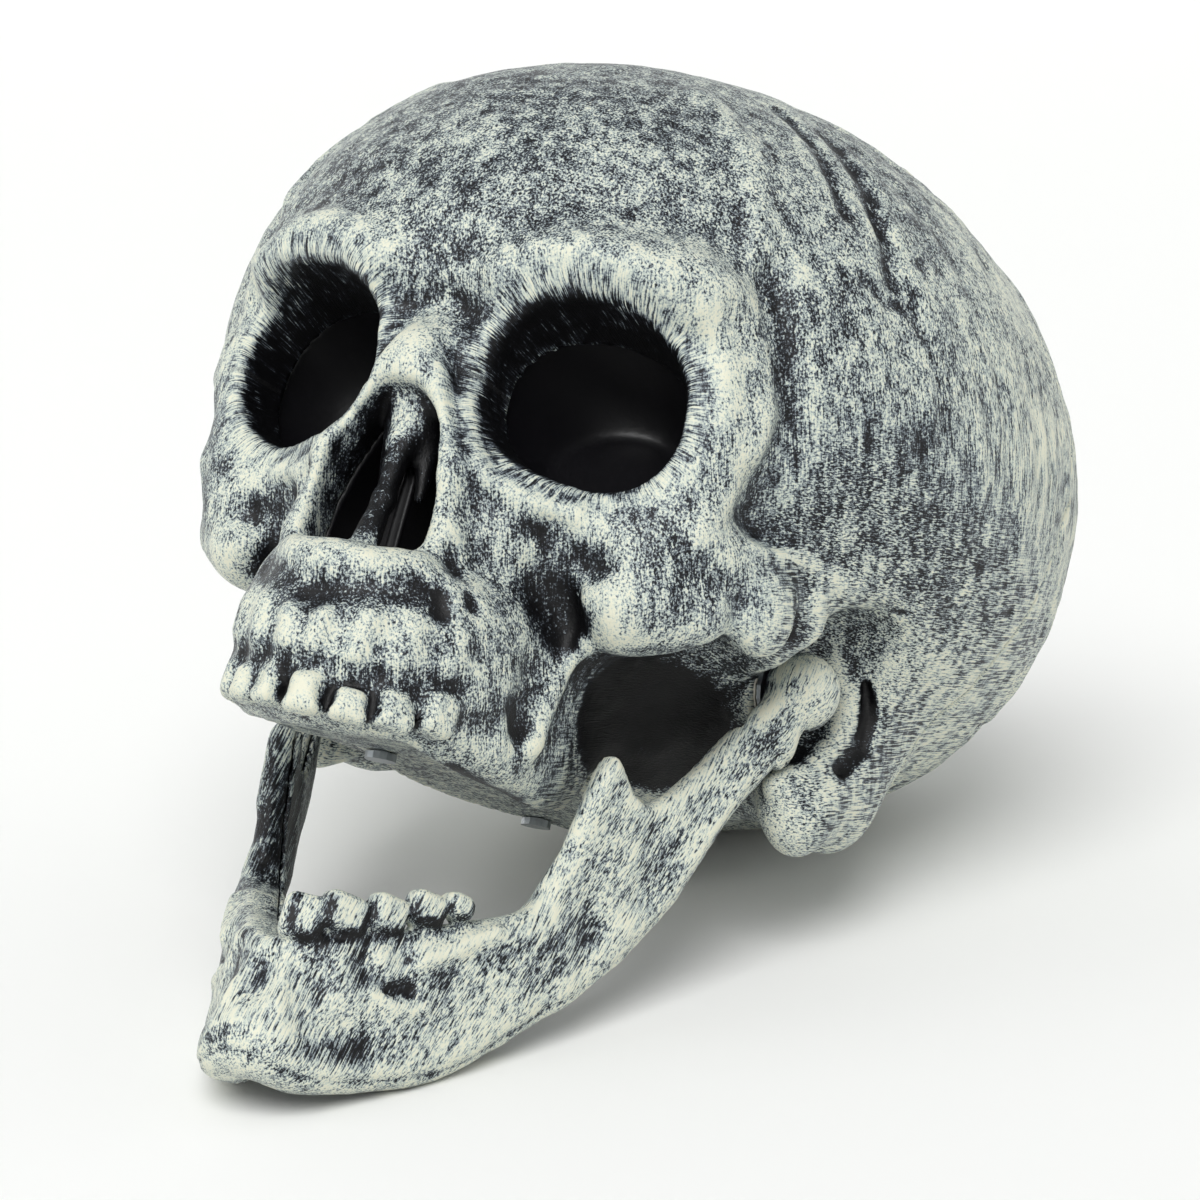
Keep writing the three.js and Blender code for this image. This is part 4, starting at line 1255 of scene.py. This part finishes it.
def paint_shell(made, verts, quads, field, cover_of, edge, on_jaw):
    """Stores how much paint each point holds, less with painted shade in closed-in hollows, and the places that
    the strokes of the brush follow
    """
    _, slope = slope_of(field, verts, 0.2)
    normals = slope / np.maximum(np.linalg.norm(slope, axis=1), 1e-6)[:, None]
    fine = relief(verts, quads, normals, fine_spread, edge)
    wide = relief(verts, quads, normals, wide_spread, edge)
    open_share = openness(field, verts, normals)
    cover = cover_of(verts)
    fine, wide = np.clip(fine, -fine_most, fine_most), np.clip(wide, -wide_most, wide_most)
    cover += fine_gain * fine + wide_gain * wide
    # Painted shade and bare plastic: hollows that other surfaces close in hold less paint and turn darker
    cover -= hollow_shade_gain * np.clip(open_enough - open_share, 0, 1)
    cover = np.where(cover > thick_paint, thick_paint + thick_share * (cover - thick_paint), cover)
    for name, weight in zip(stroke_shares, brush_weights(verts, on_jaw)):
        give(made.data, name, "FLOAT", weight)
    give(made.data, "cover", "FLOAT", cover)
    give(made.data, "skull_place", "FLOAT_VECTOR", verts)
    way = jaw_stroke if on_jaw else head_stroke
    give(made.data, "stroke_place", "FLOAT_VECTOR", stroke_place(verts, way))
    give(made.data, "temple_place", "FLOAT_VECTOR", stroke_place(verts, temple_stroke))
    give(made.data, "socket_place", "FLOAT_VECTOR", radial_place(verts))


# Materials
def from_hex(text):
    parts = [int(text[i : i + 2], 16) / 255 for i in (0, 2, 4)]
    return [p / 12.92 if p <= 0.04045 else ((p + 0.055) / 1.055) ** 2.4 for p in parts] + [1]


def node(tree, kind, settings=None, **links):
    """Adds a node: settings are its properties, and each link fills an input with a value or an output"""
    made = tree.nodes.new(kind)
    for name, value in (settings or {}).items():
        setattr(made, name, value)
    for name, value in links.items():
        key = int(name[1:]) if name[0] == "_" and name[1:].isdigit() else name.replace("_", " ")
        filled = made.inputs[key]
        if isinstance(value, bpy.types.NodeSocket):
            tree.links.new(value, filled)
        else:
            filled.default_value = value
    return made


def new_material(name):
    made = bpy.data.materials.new(name)
    made.use_nodes = True
    return made, made.node_tree, made.node_tree.nodes["Principled BSDF"]


stroke_shares = {"strokes_down": 0.75, "strokes_along": 0.8, "strokes_around": 0.8}
# Noises of the paint: the places they follow, the size of their features in mm, and their detail
paint_patterns = {
    "grain": ("skull_place", (0.45, 0.45, 0.45), 3.0),
    "strokes_down": ("stroke_place", (0.34, 0.3, 5), 3.0),
    "strokes_along": ("temple_place", (0.45, 0.3, 6), 3.0),
    "strokes_around": ("socket_place", (0.32, 3.5, 5), 3.0),
    "blotches": ("stroke_place", (2.8, 2.4, 6.5), 3.0),
    "patches": ("skull_place", (13, 13, 13), 2.0),
}
# How far each noise moves the paint up and down: the pattern is the grain with the strokes over it
paint_amounts = {"pattern": 3.4, "blotches": 1.2, "patches": 0.6}
# Colours from bare plastic to thick paint, by how much paint lies there
paint_most = 1.1
paint_stops = [
    (0.05, "08080a"),
    (0.24, "15161a"),
    (0.37, "31353c"),
    (0.47, "626b73"),
    (0.58, "939d9f"),
    (0.7, "b9c3bb"),
    (0.86, "d0d4c5"),
    (1.05, "dad9c5"),
]


def dry_brushed_abs():
    """Black moulded ABS under pale acrylic that a nearly dry brush left on what stands out: grain and
    strokes of paint as fine as a bristle, thin and blue-grey at their ends, cream where they lie thick"""
    made, tree, shader = new_material("dry_brushed_black_abs")
    held, noises = {}, {}
    for name in ("cover", *stroke_shares):
        held[name] = node(tree, "ShaderNodeAttribute", {"attribute_name": name}).outputs["Fac"]
    for name, (place, size, detail) in paint_patterns.items():
        at = node(tree, "ShaderNodeAttribute", {"attribute_name": place}).outputs["Vector"]
        spaced = node(tree, "ShaderNodeVectorMath", {"operation": "DIVIDE"}, _0=at, _1=size).outputs[0]
        noise = node(tree, "ShaderNodeTexNoise", Vector=spaced, Scale=1.0, Detail=detail, Roughness=0.62)
        noises[name] = noise.outputs["Fac"]
    pattern = noises["grain"]
    for name, share in stroke_shares.items():
        weight = node(tree, "ShaderNodeMath", {"operation": "MULTIPLY"}, _0=held[name], _1=share).outputs[0]
        mixed = node(tree, "ShaderNodeMix", {"data_type": "FLOAT"}, _0=weight, _2=pattern, _3=noises[name])
        pattern = mixed.outputs[0]
    level = held["cover"]
    noises["pattern"] = pattern
    times_and_plus, plus = {"operation": "MULTIPLY_ADD"}, {"operation": "ADD"}
    for name, amount in paint_amounts.items():
        centred = node(tree, "ShaderNodeMath", times_and_plus, _0=noises[name], _1=amount, _2=-amount / 2)
        level = node(tree, "ShaderNodeMath", plus, _0=level, _1=centred.outputs[0]).outputs[0]
    shown = node(tree, "ShaderNodeMapRange", None, Value=level, From_Min=0.0, From_Max=paint_most)
    ramp = node(tree, "ShaderNodeValToRGB", None, Fac=shown.outputs["Result"])
    stops = ramp.color_ramp.elements
    for stop, (position, colour) in zip((stops[0], stops[1]), (paint_stops[0], paint_stops[-1])):
        stop.position = position / paint_most
        stop.color = from_hex(colour)
    for position, colour in paint_stops[1:-1]:
        stops.new(position / paint_most).color = from_hex(colour)
    tree.links.new(ramp.outputs["Color"], shader.inputs["Base Color"])
    shader.inputs["Specular IOR Level"].default_value = 0.28
    gloss = node(tree, "ShaderNodeMapRange", None, Value=level, From_Min=0.3, From_Max=0.8)
    gloss.inputs["To Min"].default_value = 0.42
    gloss.inputs["To Max"].default_value = 0.5
    tree.links.new(gloss.outputs["Result"], shader.inputs["Roughness"])
    bump = node(tree, "ShaderNodeBump", None, Strength=0.4, Distance=0.15 * MM, Height=level)
    tree.links.new(bump.outputs["Normal"], shader.inputs["Normal"])
    return made


def spotted(name, spot, detail, colours, gloss, bump, constants):
    """A finish whose colour, gloss and height change together in spots of a given size in metres: its two
    colours, least and most roughness, strength and height of the bump, and constants of the shader"""
    made, tree, shader = new_material(name)
    at = node(tree, "ShaderNodeTexCoord").outputs["Object"]
    spots = node(tree, "ShaderNodeTexNoise", Vector=at, Scale=1 / spot, Detail=detail).outputs["Fac"]
    dark, light = from_hex(colours[0]), from_hex(colours[1])
    tint = node(tree, "ShaderNodeMix", {"data_type": "RGBA"}, _0=spots, A=dark, B=light)
    tree.links.new(tint.outputs["Result"], shader.inputs["Base Color"])
    rough = node(tree, "ShaderNodeMapRange", None, Value=spots, To_Min=gloss[0], To_Max=gloss[1])
    tree.links.new(rough.outputs["Result"], shader.inputs["Roughness"])
    if bump:
        raised = node(tree, "ShaderNodeBump", None, Strength=bump[0], Distance=bump[1], Height=spots)
        tree.links.new(raised.outputs["Normal"], shader.inputs["Normal"])
    for key, value in constants.items():
        shader.inputs[key].default_value = value
    return made


def bare_black_abs():
    """Black ABS as it left the mould: nearly black, with a soft gloss that the mould's grain breaks up"""
    colours = ("060608", "0e0d12")
    return spotted("bare_black_abs", 0.6 * MM, 2.0, colours, (0.3, 0.5), (0.3, 0.08 * MM), {})


def moulded_nylon():
    """Natural nylon, moulded: milky, satin, with a faint unevenness"""
    colours = ("d3cdbf", "e0dccf")
    return spotted("moulded_natural_nylon", 2 * MM, 3.0, colours, (0.38, 0.52), None, {"IOR": 1.53})


def zinc_plated_steel():
    """Steel under bright zinc: bluish grey metal with duller spots"""
    colours, bump = ("9aa0a6", "bcc0c2"), (0.2, 0.05 * MM)
    return spotted("zinc_plated_steel", 0.8 * MM, 4.0, colours, (0.26, 0.46), bump, {"Metallic": 1.0})


# Pieces, each looked for in a box of its own
face_box = (-95, -110, -70), (95, 30, 115)
rear_box = (-95, 15, -70), (95, 115, 115)
plate_box = (-30, -72, -55), (30, 40, -20)
left_cup_box = (0, -90, -15), (60, -35, 50)
right_cup_box = (-60, -90, -15), (0, -35, 50)
nose_box = (-25, -100, -35), (25, -55, 15)
jaw_box = (-68, -100, -125), (68, 5, 0)

head_painted, head_black = ("skull", "painted_shell"), ("skull", "black_plastic")
jaw_painted = ("jaw", "painted_shell")
pieces = [
    make_piece("painted_face_shell", "front_shell", *head_painted, front_shell, face_box, cell),
    make_piece("painted_rear_shell", "rear_shell", *head_painted, rear_shell, rear_box, coarse_cell),
    make_piece("base_plate", "base_cover", *head_painted, base_cover, plate_box, cell),
    make_piece("left_socket_cup", "left_eye_cup", *head_black, eye_cup(1), left_cup_box, cell),
    make_piece("right_socket_cup", "right_eye_cup", *head_black, eye_cup(-1), right_cup_box, cell),
    make_piece("nose_cavity_insert", "nose_insert", *head_black, nose_insert, nose_box, cell),
    make_piece("jaw_outer_shell", "mandible_outer_shell", *jaw_painted, mandible_outer, jaw_box, cell),
    make_piece("jaw_inner_shell", "mandible_inner_shell", *jaw_painted, mandible_inner, jaw_box, cell),
]

finishes = {
    "painted_shell": dry_brushed_abs(),
    "black_plastic": bare_black_abs(),
    "nylon": moulded_nylon(),
    "steel": zinc_plated_steel(),
}
for piece in pieces:
    piece.data.materials.append(finishes[piece["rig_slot"]])
for subpart in frame["record"]["subparts"]:
    for held_slot in frame["nodes"][subpart["node"]].material_slots:
        held_slot.material = finishes[subpart["material_slot"]]

# Camera at the photograph's place, found in the skull's frame
camera_turn, camera_rise, camera_roll = map(math.radians, (28.3, -18.9, 14.6))
camera_shift_x, camera_shift_y, camera_away = 2.1, 5.1, 779
photo_focal, photo_width = 3984, 1200
sensor = 36


def camera_axes():
    ca, sa = math.cos(camera_turn), math.sin(camera_turn)
    ce, se = math.cos(camera_rise), math.sin(camera_rise)
    back = np.array([sa * ce, -ca * ce, se])
    right = np.array([ca, sa, 0])
    up = np.cross(back, right)
    cr, sr = math.cos(camera_roll), math.sin(camera_roll)
    return np.array([cr * right + sr * up, cr * up - sr * right, back])


axes = camera_axes()
camera_place = placed((axes.T @ [camera_shift_x, camera_shift_y, camera_away])[None])[0]
turned_axes = lean(axes)
camera = bpy.data.objects.new("camera", bpy.data.cameras.new("camera"))
camera.data.sensor_width = sensor
camera.data.lens = sensor * (photo_focal / photo_width)
camera.data.clip_start = 0.05
camera.matrix_world = Matrix.Translation(camera_place) @ Matrix(turned_axes.T.tolist()).to_4x4()
bpy.context.scene.collection.objects.link(camera)
bpy.context.scene.camera = camera

# Floor that curves up all round into a backdrop, lights and air, in metres
floor_flat, floor_sweep = 2.2, 2.5
floor_middle_radius = 0.4
sweep_steps, turn_steps = 16, 72


def floor_surface():
    ring = [(floor_middle_radius, 0), (floor_flat, 0)]
    for step in range(1, sweep_steps + 1):
        turn = math.pi / 2 * step / sweep_steps
        ring.append((floor_flat + floor_sweep * math.sin(turn), floor_sweep * (1 - math.cos(turn))))
    verts, faces = [], [tuple(range(turn_steps))]
    for radius, height in ring:
        for step in range(turn_steps):
            turn = 2 * math.pi * step / turn_steps
            verts.append((radius * math.cos(turn), radius * math.sin(turn), height))
    for level in range(len(ring) - 1):
        for step in range(turn_steps):
            here, beside = level * turn_steps + step, level * turn_steps + (step + 1) % turn_steps
            faces.append((here, here + turn_steps, beside + turn_steps, beside))
    return verts, faces


floor_mesh = bpy.data.meshes.new("floor")
floor_verts, floor_faces = floor_surface()
floor_mesh.from_pydata(floor_verts, [], floor_faces)
floor_mesh.polygons.foreach_set("use_smooth", [True] * len(floor_mesh.polygons))
floor = bpy.data.objects.new("floor", floor_mesh)
bpy.context.scene.collection.objects.link(floor)
floor_paint = bpy.data.materials.new("floor")
floor_paint.use_nodes = True
floor_shader = floor_paint.node_tree.nodes["Principled BSDF"]
floor_shader.inputs["Base Color"].default_value = from_hex("f4f4f2")
floor_shader.inputs["Roughness"].default_value = 0.8
floor_mesh.materials.append(floor_paint)


def area_light(name, at, aim, size, power):
    """A round soft light that looks at a place"""
    data = bpy.data.lights.new(name, "AREA")
    data.shape = "DISK"
    data.size = size
    data.energy = power
    lamp = bpy.data.objects.new(name, data)
    lamp.location = at
    lamp.rotation_euler = (Vector(aim) - Vector(at)).to_track_quat("-Z", "Y").to_euler()
    bpy.context.scene.collection.objects.link(lamp)


sun = bpy.data.lights.new("key", "SUN")
sun.energy = 2.15
sun.angle = math.radians(42)
key = bpy.data.objects.new("key", sun)
key.rotation_euler = (math.radians(40), 0, math.radians(18))
bpy.context.scene.collection.objects.link(key)
area_light("fill", (-1.0, -0.8, 0.8), (0, 0, 0.08), 0.9, 2.5)
world = bpy.data.worlds.new("air")
world.use_nodes = True
world.node_tree.nodes["Background"].inputs["Color"].default_value = from_hex("f6f8fa")
world.node_tree.nodes["Background"].inputs["Strength"].default_value = 0.5
bpy.context.scene.world = world
bpy.context.scene.view_settings.view_transform = "Standard"
